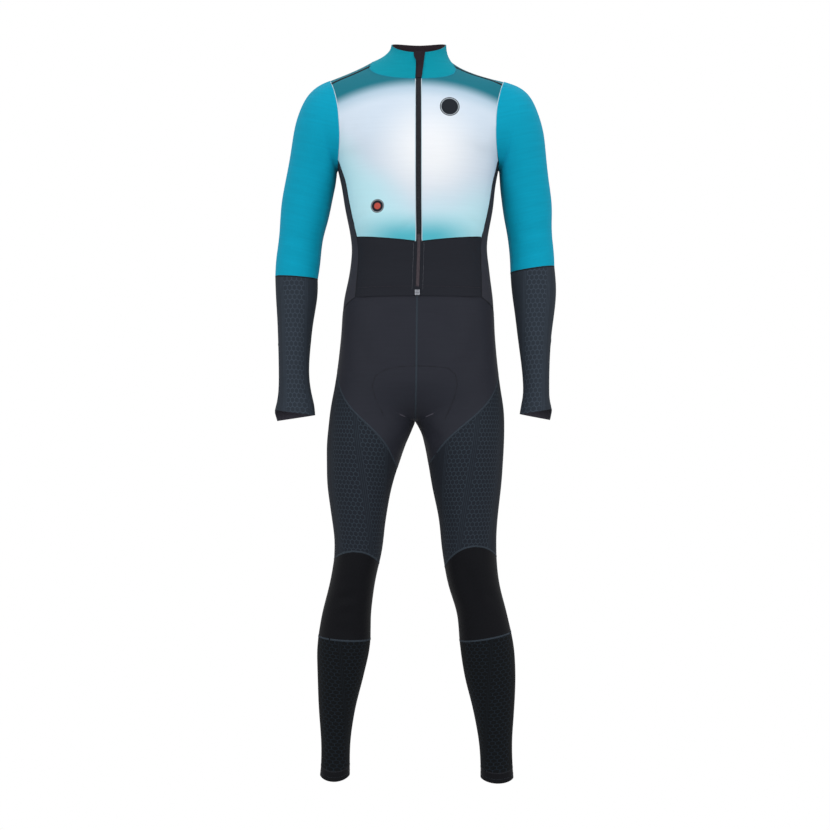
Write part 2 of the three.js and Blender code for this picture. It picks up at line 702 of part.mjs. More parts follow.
// The collar's faces meet those of the chest, the tapes and the back at the neck seam.
// Its front edges stand the given distance from the zip's middle all the way up.
function collarGrid(distance) {
  return run(0, 1, FACES.collar, (up) => {
    const half = [
      ...run(collarTurn(distance, up), NECK_TURN, FACES.neckFront, (turn) => turn),
      ...run(NECK_TURN + TAPE_STEP, Math.PI, FACES.neckBack / 2, (turn) => turn),
    ];
    const other = half.slice(0, -1).reverse().map((turn) => 2 * Math.PI - turn);
    return [...half, ...other].map((turn) => [turn, up]);
  });
}

const collarPiece = () => piece('collar', FINISH.collar, collarSurface, collarGrid(ZIP_HALF));

function collarLining() {
  const inset = () => -(WALL + SEAM_GAP);
  const grid = collarGrid(ZIP_HALF + 1);
  return piece('collar_lining', FINISH.lining, collarSurface, grid, { lift: inset, thick: THIN_WALL });
}

function zipTape() {
  const neck = neckline(0);
  const heights = chain(
    run(HEM, bandSeam(0)[1], FACES.band, (z) => z),
    run(bandSeam(0)[1], neck, FACES.side + FACES.armholeFront, (z) => z),
    run(neck, collarEdge(0), FACES.collar, (z) => z),
  );
  const grid = heights.map((z) => [[-ZIP_HALF, z], [0, z], [ZIP_HALF, z]]);
  const lift = (distance, z) => hemLift(0, z);
  return piece('zip_tape', FINISH.zip, zipSurface, grid, { lift });
}

// The guard folds over the top of the zip, which makes it swell
function zipGuard() {
  const grid = run(0.02, 1.03, FACES.guardHeight, (up) => (
    run(read(GUARD, 'low', up), read(GUARD, 'high', up), FACES.guardWidth, (distance) => [distance, up])
  ));
  const face = surface((distance, up) => collar(collarTurn(distance, up), up), 1, 0.5, 0.01);
  const swell = (distance, up) => (
    smoothstep(8 - Math.abs(distance), 0, 4)
    * smoothstep(0.3 - Math.abs(up - GUARD_SWELL.up), 0, 0.17)
  );
  const lift = (distance, up) => (
    2 * SEAM_GAP + THIN_WALL + GUARD_SWELL.height * swell(distance, up)
  );
  return piece('zip_guard', FINISH.zip, face, grid, { lift, thick: THIN_WALL });
}

// The zip's box, a small plate at its foot with two lugs and two legs
function zipBox() {
  const [x, y] = [ZIP_BOX.width / 2, ZIP_BOX.height / 2];
  const half = [
    [0.9, y - 3.8], [2.1, y], [x - 0.7, y], [x, y - 1.6],
    [x, -y], [1.5, -y], [1.5, 2 - y], [0.6, 3 - y],
  ];
  const outline = [...half, ...[...half].reverse().map(([across, up]) => [-across, up])];
  const shape = new THREE.Shape(outline.map(([across, up]) => new THREE.Vector2(across, up)));
  const geometry = new THREE.ExtrudeGeometry(shape, { depth: ZIP_BOX.thick, bevelEnabled: false });
  const mesh = new THREE.Mesh(geometry, FINISH.metal);
  const out = zipSurface.out(0, ZIP_BOX.z);
  mesh.name = 'zip_box';
  mesh.position.copy(zipLine(0, ZIP_BOX.z).addScaledVector(out, HEM_LIFT + 2 * SEAM_GAP));
  mesh.rotation.x = Math.atan2(-out.y, out.z);
  return mesh;
}

// Heights from the inseam's foot up to the crotch, closer together where the crotch curves
const middleEdge = (turn, foot, top) => chain(
  line([turn, foot], [turn, CROTCH], FACES.inseam),
  run(degrees(90), 0, FACES.crotch, (arc) => [turn, HIP - (HIP - CROTCH) * Math.sin(arc)]),
  line([turn, HIP], [turn, top], FACES.rise),
);
const sideEdge = (side) => line(
  [SIDE_TURN, LEG_SEAMS[nameOf(side)].thigh.outer],
  [SIDE_TURN, SIDE_POINT],
  FACES.inseam + FACES.crotch + FACES.rise,
);

// Height of a seam round the leg
const legSeam = (side, seam) => (turn) => {
  const { inner, outer, front, back } = LEG_SEAMS[nameOf(side)][seam];
  const ahead = Math.sin(2 * turn);
  const rise = ahead > 0 ? front * ahead ** 1.5 : -back * ahead;
  return (inner + outer) / 2 + ((inner - outer) / 2) * Math.cos(2 * turn) + rise;
};
const thighSeam = (side, from, to) => (
  run(from, to, FACES.tights + FACES.point, (turn) => [turn, legSeam(side, 'thigh')(turn)])
);

function frontTights(side) {
  const lapEdge = (turn) => [turn, HEM + HEM_LAP * (1 - smoothstep(turn, LAP_TURN, degrees(45)))];
  const grid = fill(
    thighSeam(side, 0, SIDE_TURN),
    chain(
      run(0, HEM_TURN, FACES.tights, lapEdge),
      line([HEM_TURN, HEM], [SIDE_TURN, SIDE_POINT], FACES.point),
    ),
    middleEdge(0, LEG_SEAMS[nameOf(side)].thigh.inner, HEM + HEM_LAP),
    sideEdge(side),
  );
  return piece(`front_tights_${nameOf(side)}`, FINISH.tights, bodySurface(side), grid);
}

function seat(side) {
  const grid = fill(
    thighSeam(side, Math.PI, SIDE_TURN),
    chain(
      line([Math.PI, HIP_SEAM], [SEAT_TURN, HIP_SEAM], FACES.tights),
      line([SEAT_TURN, HIP_SEAM], [SIDE_TURN, SIDE_POINT], FACES.point),
    ),
    middleEdge(Math.PI, LEG_SEAMS[nameOf(side)].thigh.inner, HIP_SEAM),
    sideEdge(side),
  );
  return piece(`seat_${nameOf(side)}`, FINISH.tights, bodySurface(side), grid);
}

const LEG_TURNS = run(0, Math.PI, 2 * (FACES.tights + FACES.point), (turn) => turn).slice(0, -1);

function legPiece(side, part, low, high, finish) {
  const grid = wrap(LEG_TURNS, legSeam(side, low), legSeam(side, high), FACES[part]);
  return piece(`${part}_${nameOf(side)}`, finish, bodySurface(side), grid, { closed: true });
}

// Turns round a sleeve, which are those of the pieces on the trunk's side of the armhole
const SLEEVE_TURNS = chain(
  run(TAPE_AROUND, FRONT_AROUND, FACES.armholeFront, (turn) => turn),
  run(FRONT_AROUND, BACK_AROUND, FACES.armholeSide, (turn) => turn),
  run(BACK_AROUND, 2 * Math.PI + TAPE_AROUND - TAPE_STEP, FACES.armholeBack, (turn) => turn),
);

function sleevePiece(side, part, low, high, finish) {
  const grid = wrap(SLEEVE_TURNS, low, high, FACES[part]);
  return piece(`${part}_${nameOf(side)}`, finish, sleeveSurface(side), grid, { closed: true });
}

const suit = new THREE.Group();
[-1, 1].forEach((side) => suit.add(
  chest(side),
  frontBand(side),
  sidePanel(side),
  shoulderTape(side),
  frontTights(side),
  seat(side),
  legPiece(side, 'thigh', 'kneeTop', 'thigh', FINISH.honeycomb),
  legPiece(side, 'knee', 'kneeBottom', 'kneeTop', FINISH.knee),
  legPiece(side, 'calf', 'ankle', 'kneeBottom', FINISH.calf),
  legPiece(side, 'ankle', 'hem', 'ankle', FINISH.knee),
  sleevePiece(side, 'sleeve', () => ELBOW_RING, () => 0, FINISH.teal),
  sleevePiece(side, 'forearm', cuffRing, () => ELBOW_RING, FINISH.honeycomb),
));
suit.add(backPanel(), collarPiece(), collarLining(), zipTape(), zipGuard(), zipBox());

export default suit;
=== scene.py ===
# %% [markdown]
# # A cycling skinsuit, filled out as it is worn
#
# This lesson dresses a plain model of a one-piece cycling suit in cloth. The model's solids are
# walls of the right shape with flat colours. Here each becomes a thin sheet of knitted cloth
# with creases, sewn seams, a printed or woven finish and a soft inside.

# %% Load the model
import math

import bmesh
import bpy
from mathutils import Matrix, Vector
from mathutils.bvhtree import BVHTree
from mathutils.kdtree import KDTree


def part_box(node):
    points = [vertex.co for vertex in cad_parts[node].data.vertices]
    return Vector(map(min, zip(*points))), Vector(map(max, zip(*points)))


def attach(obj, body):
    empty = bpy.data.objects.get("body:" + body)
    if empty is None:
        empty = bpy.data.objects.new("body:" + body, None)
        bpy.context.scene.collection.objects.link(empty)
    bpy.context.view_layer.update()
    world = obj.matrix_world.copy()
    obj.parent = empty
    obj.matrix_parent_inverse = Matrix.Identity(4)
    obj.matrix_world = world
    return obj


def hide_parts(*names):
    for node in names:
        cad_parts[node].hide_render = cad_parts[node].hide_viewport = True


MM = 0.001
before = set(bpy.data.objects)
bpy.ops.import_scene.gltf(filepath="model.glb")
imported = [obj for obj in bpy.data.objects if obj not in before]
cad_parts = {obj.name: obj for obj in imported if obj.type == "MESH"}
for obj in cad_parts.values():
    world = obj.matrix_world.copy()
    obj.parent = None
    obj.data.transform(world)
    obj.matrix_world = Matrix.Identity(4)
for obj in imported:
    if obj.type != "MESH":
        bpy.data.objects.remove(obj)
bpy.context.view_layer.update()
bpy.ops.object.select_all(action="DESELECT")
print("solids in the model:", len(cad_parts))

# %% [markdown]
# ## Camera
#
# The suit is seen from straight in front, at the height of the hips, from about 3.2 m away.

# %% Camera
EYE = Vector((-4, -3200, -673.6)) * MM
FIELD = math.radians(28.1)
SENSOR = 36

bpy.ops.object.camera_add(location=EYE, rotation=(math.pi / 2, 0, 0))
camera = bpy.context.object
camera.name = "camera"
camera.data.sensor_width = SENSOR
camera.data.lens = SENSOR / 2 / math.tan(FIELD / 2)
bpy.context.scene.camera = camera
print("lens:", round(camera.data.lens, 1), "mm")

# %% [markdown]
# ## A node helper and colours
#
# Every material is built from nodes. One function adds a node, sets it and links what feeds it,
# and another turns a hex colour as a screen shows it into the linear one that Blender mixes.


# %% Node and colour helpers
def srgb(code):
    """Linear colour of a hex sRGB code"""
    values = [int(code[i:i + 2], 16) / 255 for i in (1, 3, 5)]
    return [v / 12.92 if v <= 0.04045 else ((v + 0.055) / 1.055) ** 2.4 for v in values] + [1]


def node(tree, kind, feeds=None, **settings):
    """Adds a node. A feed is a number, a colour, another node or one of its outputs."""
    made = tree.nodes.new(kind)
    for name, value in settings.items():
        setattr(made, name, value)
    for name, value in (feeds or {}).items():
        if isinstance(value, bpy.types.Node):
            value = value.outputs[0]
        if isinstance(value, bpy.types.NodeSocket):
            tree.links.new(value, made.inputs[name])
        else:
            made.inputs[name].default_value = value
    return made


def ramp(tree, factor, stops, interpolation="LINEAR"):
    """A colour ramp through (place, hex colour or grey level) stops"""
    made = node(tree, "ShaderNodeValToRGB", {"Fac": factor})
    made.color_ramp.interpolation = interpolation
    elements = made.color_ramp.elements
    while len(elements) < len(stops):
        elements.new(0.5)
    for element, (place, colour) in zip(elements, stops):
        element.position = place
        element.color = srgb(colour) if isinstance(colour, str) else [colour] * 3 + [1]
    return made


def start(name):
    """A new material and its shader"""
    made = bpy.data.materials.new(name)
    made.use_nodes = True
    shader = made.node_tree.nodes["Principled BSDF"]
    return made, made.node_tree, shader


print("half grey on a screen is", round(srgb("#808080")[0], 3), "in linear light")


# %% [markdown]
# ## Knitted cloth
#
# The suit is warp-knitted polyester and elastane, brushed inside. The eye sees a matt cloth with
# a soft bloom where it turns away, from the sheen of its filaments, and fine upright ribs of
# stitches. Real stitches are about 0.5 mm apart, which is too fine to show from here, so they
# are drawn 1.5 mm apart. Faint sideways streaks come from the yarn's uneven stretch.


# %% Knit surface
STITCH = 1.5 * MM
# Streaks of the yarn in one metre of cloth, round the body and along it
YARN_ROUND, YARN_ALONG = 14, 230


def knit(name, colour=None, roughness=0.82, sheen=0.02, gloss=0.12, streaks=0.03, relief=0.25,
         extra=None):
    """Matt stretch knit. extra(tree) may return a colour and a height of its own."""
    material, tree, shader = start(name)
    place = node(tree, "ShaderNodeUVMap", uv_map="Cloth")
    parts = node(tree, "ShaderNodeSeparateXYZ", {0: place})
    across = node(tree, "ShaderNodeMath", {0: parts.outputs[0], 1: 2 * math.pi / STITCH},
                  operation="MULTIPLY")
    up = node(tree, "ShaderNodeMath", {0: parts.outputs[1], 1: 2 * math.pi / STITCH * 0.7},
              operation="MULTIPLY")
    ribs = node(tree, "ShaderNodeMath", {0: across}, operation="SINE")
    rows = node(tree, "ShaderNodeMath", {0: up}, operation="SINE")
    stitches = node(tree, "ShaderNodeMath", {0: rows, 1: 0.4, 2: ribs}, operation="MULTIPLY_ADD")
    stretched = node(tree, "ShaderNodeMapping",
                     {"Vector": place, "Scale": (YARN_ROUND, YARN_ALONG, 1)})
    yarn = node(tree, "ShaderNodeTexNoise", {"Vector": stretched, "Scale": 1, "Detail": 3})
    height = node(tree, "ShaderNodeMath", {0: stitches, 1: 0.12, 2: yarn}, operation="MULTIPLY_ADD")
    base, pattern = extra(tree) if extra else (srgb(colour)[:3], None)
    if pattern:
        height = node(tree, "ShaderNodeMath", {0: pattern, 1: 2.0, 2: height},
                      operation="MULTIPLY_ADD")
    shade = node(tree, "ShaderNodeMapRange",
                 {"Value": yarn, "From Min": 0.3, "From Max": 0.7,
                  "To Min": 1 - streaks, "To Max": 1 + streaks})
    tinted = node(tree, "ShaderNodeVectorMath", {0: base, 1: shade}, operation="MULTIPLY")
    bump = node(tree, "ShaderNodeBump", {"Height": height, "Distance": 0.25 * MM,
                                         "Strength": relief})
    tree.links.new(tinted.outputs[0], shader.inputs["Base Color"])
    tree.links.new(bump.outputs[0], shader.inputs["Normal"])
    shader.inputs["Roughness"].default_value = roughness
    shader.inputs["IOR"].default_value = 1.5
    shader.inputs["Specular IOR Level"].default_value = gloss
    shader.inputs["Sheen Weight"].default_value = sheen
    shader.inputs["Sheen Roughness"].default_value = 0.45
    return material


teal_knit = knit("brushed knit, teal", "#009CBC", streaks=0.05)
collar_knit = knit("brushed knit, collar teal", "#0091A5", streaks=0.04)
black_knit = knit("stretch jersey, black", "#23252C")
side_knit = knit("stretch jersey, charcoal", "#36373F")
tights_knit = knit("tights lycra, black", "#272932", roughness=0.65, gloss=0.15)
knee_knit = knit("knee lycra, black", "#0C0D12", roughness=0.62)
guard_knit = knit("guard fleece, plum black", "#2A2228", roughness=0.95)
inside_fleece = knit("brushed fleece inside, grey", "#4A4852", roughness=0.95, sheen=0.08,
                     relief=0.6)
collar_inside = knit("collar lining knit, plum black", "#2E262C", roughness=0.95, sheen=0.05)
print("plain knits, from", teal_knit.name, "to", collar_inside.name)

# %% [markdown]
# ## Printed chest
#
# The front panels are dyed by sublimation: ink is pressed into white cloth as a gas, so the
# picture has soft edges and no thickness. Here it is a fade from teal at the shoulders to a
# pale lavender white, and to turquoise above the lower band. The lightest white beside the zip
# is partly a painted pool of light, and the deepest teal on the shoulders is partly painted
# shade. It follows the height on the body, so it reads Object coordinates. Two plain ringed
# discs are printed on it.


# %% Layers of print
def over(tree, base, colour, share):
    """Lays a colour over another by a share of 0 to 1"""
    mixed = node(tree, "ShaderNodeMix", {"Factor": share, "A": base, "B": srgb(colour)},
                 data_type="RGBA")
    return mixed.outputs[2]


def spot(tree, place, x, z):
    """Distance of a point from a place on the front, in metres"""
    flat = node(tree, "ShaderNodeVectorMath", {0: place, 1: (1, 0, 1)}, operation="MULTIPLY")
    return node(tree, "ShaderNodeVectorMath", {0: flat, 1: (x * MM, 0, z * MM)},
                operation="DISTANCE").outputs["Value"]


def within(tree, distance, inner, outer):
    """1 inside a radius in mm, 0 outside the larger one, and soft between them"""
    return node(tree, "ShaderNodeMapRange",
                {"Value": distance, "From Min": outer * MM, "From Max": inner * MM},
                interpolation_type="SMOOTHSTEP").outputs[0]


def soft_step(tree, value, zero, one, most=1.0):
    """0 at one height and most at another, in mm, with a soft start and end"""
    return node(tree, "ShaderNodeMapRange", {"Value": value, "From Min": zero * MM,
                                             "From Max": one * MM, "To Max": most},
                interpolation_type="SMOOTHSTEP").outputs[0]


# %% Chest print
# Place in mm, radius in mm and the colour of the dot in the middle
DISCS = [(61.1, -95.5, 18.5, "#22262D"), (-74.5, -282.1, 12.5, "#C4564A")]
# How fast a line bends down towards the sides, and leans across the front
BEND, LEAN, SPREAD = 1.5, 0.3, -0.6


def chest_fade(tree):
    """White in the middle, its lightest spot partly a painted pool of light, teal above a line that
    dips at the sides, its deepest tone partly painted shade, and aqua below
    """
    place = node(tree, "ShaderNodeTexCoord").outputs["Object"]
    parts = node(tree, "ShaderNodeSeparateXYZ", {0: place})
    x, z = parts.outputs[0], parts.outputs[2]
    aside = node(tree, "ShaderNodeMath", {0: x}, operation="ABSOLUTE")
    # The lighter spot beside the zip is partly the print's pale ground and partly a painted pool of
    # light
    white = within(tree, spot(tree, place, 22, -180), 15, 125)
    colour = over(tree, srgb("#D3E1EF"), "#F5F8FC", white)
    # Shoulders: teal print, its deepest teal darker than the sleeves as painted shade on the
    # shoulder tops and under the collar
    squared = node(tree, "ShaderNodeMath", {0: x, 1: 2}, operation="POWER")
    bent = node(tree, "ShaderNodeMath", {0: squared, 1: BEND, 2: z}, operation="MULTIPLY_ADD")
    colour = over(tree, colour, "#A9C6D8", soft_step(tree, bent, -82, -44))
    # The deep teal is painted shade laid over the teal print
    colour = over(tree, colour, "#1D7485", soft_step(tree, bent, -59, -35))
    # Foot of the panels: a wide pale fade that climbs to the right, and a narrow strong one
    lean = node(tree, "ShaderNodeMath", {0: x, 1: LEAN, 2: z}, operation="MULTIPLY_ADD")
    slow = node(tree, "ShaderNodeTexNoise", {"Vector": place, "Scale": 11, "Detail": 1})
    wander = node(tree, "ShaderNodeMapRange", {"Value": slow, "To Min": -0.02, "To Max": 0.02})
    low = node(tree, "ShaderNodeMath", {0: aside, 1: SPREAD, 2: lean}, operation="MULTIPLY_ADD")
    low = node(tree, "ShaderNodeMath", {0: low, 1: wander}, operation="ADD")
    colour = over(tree, colour, "#C2EEF8", soft_step(tree, low, -245, -355))
    middle = soft_step(tree, aside, 150, 30)
    strong = node(tree, "ShaderNodeMath", {0: middle, 1: soft_step(tree, z, -286, -342, 0.9)},
                  operation="MULTIPLY")
    colour = over(tree, colour, "#38B3C5", strong)
    for disc_x, disc_z, radius, heart in DISCS:
        away = spot(tree, place, disc_x, disc_z)
        colour = over(tree, colour, "#22262D", within(tree, away, radius - 0.3, radius + 0.3))
        ring = node(tree, "ShaderNodeMath", {0: within(tree, away, 0.90 * radius, 0.93 * radius),
                                             1: within(tree, away, 0.84 * radius, 0.87 * radius)},
                    operation="SUBTRACT")
        colour = over(tree, colour, "#B9C3CB", ring)
        colour = over(tree, colour, heart, within(tree, away, 0.44 * radius, 0.52 * radius))
    return colour, None


chest_knit = knit("sublimation-printed knit, painted light and shade", streaks=0.01, roughness=0.78, extra=chest_fade)
print("chest print with", len(DISCS), "discs")

# %% [markdown]
# ## Honeycomb cloth
#
# Thighs, calves and forearms are a jacquard: the knitting itself changes from smooth to raised
# along a honeycomb, which sheds air behind the legs. The lines are slightly lighter and stand
# proud. Bands of upright lines part the honeycomb into zones. The cells are about 9 mm across
# on the thigh and the forearm, and 13 by 7 mm on the calf, where the cloth is stretched.


# %% Honeycomb pattern
def honeycomb(across, up, ground, line, zones):
    """Returns extra(tree) for knit: hexagons of the given width and height, in metres.
    zones are places round the limb, as shares, where upright lines replace the cells."""
    def extra(tree):
        place = node(tree, "ShaderNodeUVMap", uv_map="Cloth")
        cells = node(tree, "ShaderNodeVectorMath",
                     {0: place, 1: (1 / across, math.sqrt(3) / 2 / up, 0)}, operation="MULTIPLY")
        size = (1, math.sqrt(3), 1)
        half = (0.5, math.sqrt(3) / 2, 0.5)
        found = []
        for shift in ((0, 0, 0), half):
            moved = node(tree, "ShaderNodeVectorMath", {0: cells, 1: shift}, operation="SUBTRACT")
            held = node(tree, "ShaderNodeVectorMath", {0: moved, 1: size, 2: (0, 0, 0)},
                        operation="WRAP")
            centred = node(tree, "ShaderNodeVectorMath", {0: held, 1: half}, operation="SUBTRACT")
            flat = node(tree, "ShaderNodeVectorMath", {0: centred, 1: (1, 1, 0)},
                        operation="MULTIPLY")
            found.append(node(tree, "ShaderNodeVectorMath", {0: flat}, operation="ABSOLUTE"))
        reach = [node(tree, "ShaderNodeVectorMath", {0: f}, operation="LENGTH") for f in found]
        nearer = node(tree, "ShaderNodeMath", {0: reach[0].outputs["Value"],
                                               1: reach[1].outputs["Value"]},
                      operation="LESS_THAN")
        own = node(tree, "ShaderNodeMix", {"Factor": nearer, "A": found[1], "B": found[0]},
                   data_type="VECTOR")
        own = own.outputs[1]
        sideways = node(tree, "ShaderNodeSeparateXYZ", {0: own}).outputs[0]
        slant = node(tree, "ShaderNodeVectorMath", {0: own, 1: (0.5, math.sqrt(3) / 2, 0)},
                     operation="DOT_PRODUCT").outputs["Value"]
        edge = node(tree, "ShaderNodeMath", {0: sideways, 1: slant}, operation="MAXIMUM")
        lines = node(tree, "ShaderNodeMapRange",
                     {"Value": edge, "From Min": 0.415, "From Max": 0.485},
                     interpolation_type="SMOOTHSTEP")
        parts = node(tree, "ShaderNodeSeparateXYZ", {0: place})
        wave = node(tree, "ShaderNodeMath", {0: parts.outputs[0], 1: 2 * math.pi / (3.2 * MM)},
                    operation="MULTIPLY")
        upright = node(tree, "ShaderNodeMath", {0: wave}, operation="SINE")
        upright = node(tree, "ShaderNodeMapRange", {"Value": upright, "From Min": 0.3,
                                                    "From Max": 1, "To Max": 0.6})
        share = node(tree, "ShaderNodeMapRange", {"Value": parts.outputs[0],
                                                  "From Min": -zones[0], "From Max": zones[0]})
        kind = ramp(tree, share, zones[1], "CONSTANT")
        weights = node(tree, "ShaderNodeSeparateColor", {0: kind})
        drawn = node(tree, "ShaderNodeMath", {0: lines, 1: weights.outputs[0]},
                     operation="MULTIPLY")
        height = node(tree, "ShaderNodeMath", {0: upright, 1: weights.outputs[2], 2: drawn},
                      operation="MULTIPLY_ADD")
        colour = node(tree, "ShaderNodeMix", {"Factor": height, "A": srgb(ground),
                                              "B": srgb(line)}, data_type="RGBA")
        return colour.outputs[2], height.outputs[0]
    return extra


CELLS, LINES, PLAIN = "#FF0000", "#0000FF", "#000000"


def zones(reach, bands):
    """Reach of the map and its colour stops, for bands of (start, kind) in mm from the outer side
    of the limb, alike towards the front and the back"""
    starts = [start for start, _ in bands] + [reach]
    front = [(0.5 + start / reach / 2, kind) for start, kind in bands]
    back = [(0.5 - end / reach / 2, kind) for end, (_, kind) in zip(starts[1:], bands)]
    return reach * MM, sorted(back + front[1:])


THIGH_ZONES = zones(260, [(0, PLAIN), (45, LINES), (57, CELLS), (108, LINES), (118, CELLS),
                          (158, LINES), (165, PLAIN)])
CALF_ZONES = zones(170, [(0, PLAIN), (25, CELLS), (75, LINES), (83, CELLS), (140, PLAIN)])
ARM_ZONES = zones(135, [(0, PLAIN), (28, LINES), (36, CELLS), (77, LINES), (85, PLAIN)])
thigh_knit = knit("honeycomb jacquard, thigh",
                  extra=honeycomb(7.5 * MM, 8 * MM, "#20252D", "#35404A", THIGH_ZONES))
calf_knit = knit("honeycomb jacquard, calf",
                 extra=honeycomb(12.8 * MM, 7 * MM, "#0D1013", "#1C252E", CALF_ZONES))
arm_knit = knit("honeycomb jacquard, forearm",
                extra=honeycomb(9 * MM, 9 * MM, "#2C333C", "#404B57", ARM_ZONES))
for jacquard in (thigh_knit, calf_knit, arm_knit):
    print(jacquard.name, len(jacquard.node_tree.nodes), "nodes")

# %% [markdown]
# ## Cloth from the solids
#
# Each solid is a closed wall: an outer face, an inner face and a narrow rim. Only the outer face
# is wanted. The rim's triangles have the shortest sides, about as long as the wall is thick, so a
# limit is raised until only two equal sheets are left. The rim then has two triangles for each
# edge of a sheet's border. The larger sheet is the outer one. It is a net of four-sided cells,
# each split by a slanting edge. All of its edges run in three directions, and the slanting one
# hardly ever lies on the border, so it is told apart and dissolved.
#
# A Subdivision Surface then rounds the net. That modifier pulls a mesh inwards, so the cage's
# points are first pushed out until the smooth surface passes through the places where they were.
# Neighbouring pieces share the points of their seam, so their seams stay closed.


# %% Outer sheet
def link(name, mesh):
    made = bpy.data.objects.new(name, mesh)
    bpy.context.scene.collection.objects.link(made)
    return made


def islands(faces):
    """Groups of faces that hang together"""
    left, groups = set(faces), []
    while left:
        group, front = set(), [left.pop()]
        while front:
            face = front.pop()
            group.add(face)
            near = {other for edge in face.edges for other in edge.link_faces}
            front += near & left
            left -= near
        groups.append(group)
    return groups


def two_sheets(work):
    """The outer and inner faces of a wall"""
    shortest = {f: min(e.calc_length() for e in f.edges) for f in work.faces}
    for tenths in range(12, 60):
        groups = islands(f for f in work.faces if shortest[f] > tenths * 0.1 * MM)
        edges = [e for f in groups[0] for e in f.edges]
        border = sum(len(groups[0].intersection(e.link_faces)) == 1 for e in edges)
        equal = len(groups) == 2 and len(groups[0]) == len(groups[1])
        if equal and 2 * (len(groups[0]) + border) == len(work.faces):
            return sorted(groups, key=lambda group: -sum(f.calc_area() for f in group))
    raise ValueError("no two equal sheets")


def directions(work):
    """Sorts the edges of a net by direction. Opposite sides of two faces that meet at an edge
    run in the same direction, and that rule is followed from face to face."""
    first = next(iter(work.faces))
    way, done, front = {edge: k for k, edge in enumerate(first.edges)}, {first}, [first]
    while front:
        face = front.pop()
        for edge in face.edges:
            for other in set(edge.link_faces) - done:
                done.add(other)
                front.append(other)
                for far in set(other.edges) - {edge}:
                    shared = (set(far.verts) & set(edge.verts)).pop()
                    mate = next(e for e in face.edges if e != edge and shared not in e.verts)
                    way[far] = way[mate]
    return [[e for e in way if way[e] == k] for k in range(3)]


def border_count(edges):
    return sum(e.is_boundary for e in edges)


def mean_length(edges):
    return sum(e.calc_length() for e in edges) / len(edges)


def outer_sheet(name):
    """The outer face of a solid, as a mesh of four-sided faces"""
    work = bmesh.new()
    work.from_mesh(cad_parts[name].data)
    bmesh.ops.remove_doubles(work, verts=work.verts, dist=0.01 * MM)
    outer = two_sheets(work)[0]
    bmesh.ops.delete(work, geom=[f for f in work.faces if f not in outer], context="FACES")
    slanting = min(directions(work), key=lambda edges: (border_count(edges), -mean_length(edges)))
    bmesh.ops.dissolve_edges(work, edges=[e for e in slanting if not e.is_boundary])
    mesh = bpy.data.meshes.new("cloth_" + name)
    work.to_mesh(mesh)
    work.free()
    return link("cloth_" + name, mesh)


def border_turn(vertex, edges):
    """How sharply the cloth's edge turns at one of its points"""
    ways = [(e.other_vert(vertex).co - vertex.co).normalized() for e in edges]
    return math.pi - ways[0].angle(ways[1])


def keep_corners(piece, least=math.radians(32)):
    """Marks the corners of the cut, so that smoothing doesn't round them"""
    work = bmesh.new()
    work.from_mesh(piece.data)
    layer = work.verts.layers.float.new("crease_vert")
    for vertex in work.verts:
        edges = [e for e in vertex.link_edges if e.is_boundary]
        if len(edges) == 2 and border_turn(vertex, edges) > least:
            vertex[layer] = 1
    work.to_mesh(piece.data)
    work.free()


def apply_modifiers(piece):
    bpy.context.view_layer.objects.active = piece
    for modifier in list(piece.modifiers):
        bpy.ops.object.modifier_apply(modifier=modifier.name)


def rounded(piece, levels):
    """Subdivides a cage so that the surface passes through its points"""
    keep_corners(piece)
    wanted = [v.co.copy() for v in piece.data.vertices]
    modifier = piece.modifiers.new("Smooth", "SUBSURF")
    modifier.levels = modifier.render_levels = levels
    modifier.boundary_smooth = "PRESERVE_CORNERS"
    for _ in range(4):
        shown = piece.evaluated_get(bpy.context.evaluated_depsgraph_get()).data
        for vertex, place in zip(piece.data.vertices, wanted):
            vertex.co += place - shown.vertices[vertex.index].co
        piece.data.update()
    apply_modifiers(piece)


SIDES = {"right": -1, "left": 1}
CUT = ["chest", "front_band", "side", "shoulder_tape", "front_tights", "seat", "thigh", "knee",
       "calf", "ankle", "sleeve", "forearm"]
FINE = {"chest": 3, "front_band": 3, "sleeve": 3, "front_tights": 3}
cloth = {}
for side in SIDES:
    for part in CUT:
        name = f"{part}_{side}"
        cloth[name] = outer_sheet(name)
        rounded(cloth[name], FINE.get(part, 2))
for name in ("back", "collar", "collar_lining", "zip_tape", "zip_guard"):
    cloth[name] = outer_sheet(name)
    rounded(cloth[name], 2)
for name, piece in cloth.items():
    print(name, len(piece.data.polygons), "faces")

# %% [markdown]
# ## A measured layout on each piece
#
# The knit and the honeycomb need a UV map in real metres. On a limb, U runs round it from the
# outer side, forwards, and V up along its axis. The map is cut at the inner side, where trousers
# and sleeves have their long seam. On the trunk, U runs round from the middle of the front.


# %% UV maps in metres
def border_points(mesh):
    work = bmesh.new()
    work.from_mesh(mesh)
    points = [v.co.copy() for v in work.verts if v.is_boundary]
    work.free()
    return points


def lay_out(piece, outward, axis, radius):
    """UV map Cloth: U round an axis, from a direction, and V along it"""
    foot, head = axis
    up = (head - foot).normalized()
    zero = (outward - up * outward.dot(up)).normalized()
    turn = up.cross(zero)
    layer = piece.data.uv_layers.new(name="Cloth")

    def angle(place):
        return math.atan2((place - foot).dot(turn), (place - foot).dot(zero))

    for face in piece.data.polygons:
        middle = angle(face.center)
        for loop in face.loop_indices:
            place = piece.data.vertices[piece.data.loops[loop].vertex_index].co
            near = middle + math.remainder(angle(place) - middle, 2 * math.pi)
            reach = radius((place - foot).dot(up))
            layer.data[loop].uv = (near * reach, (place - foot).dot(up))


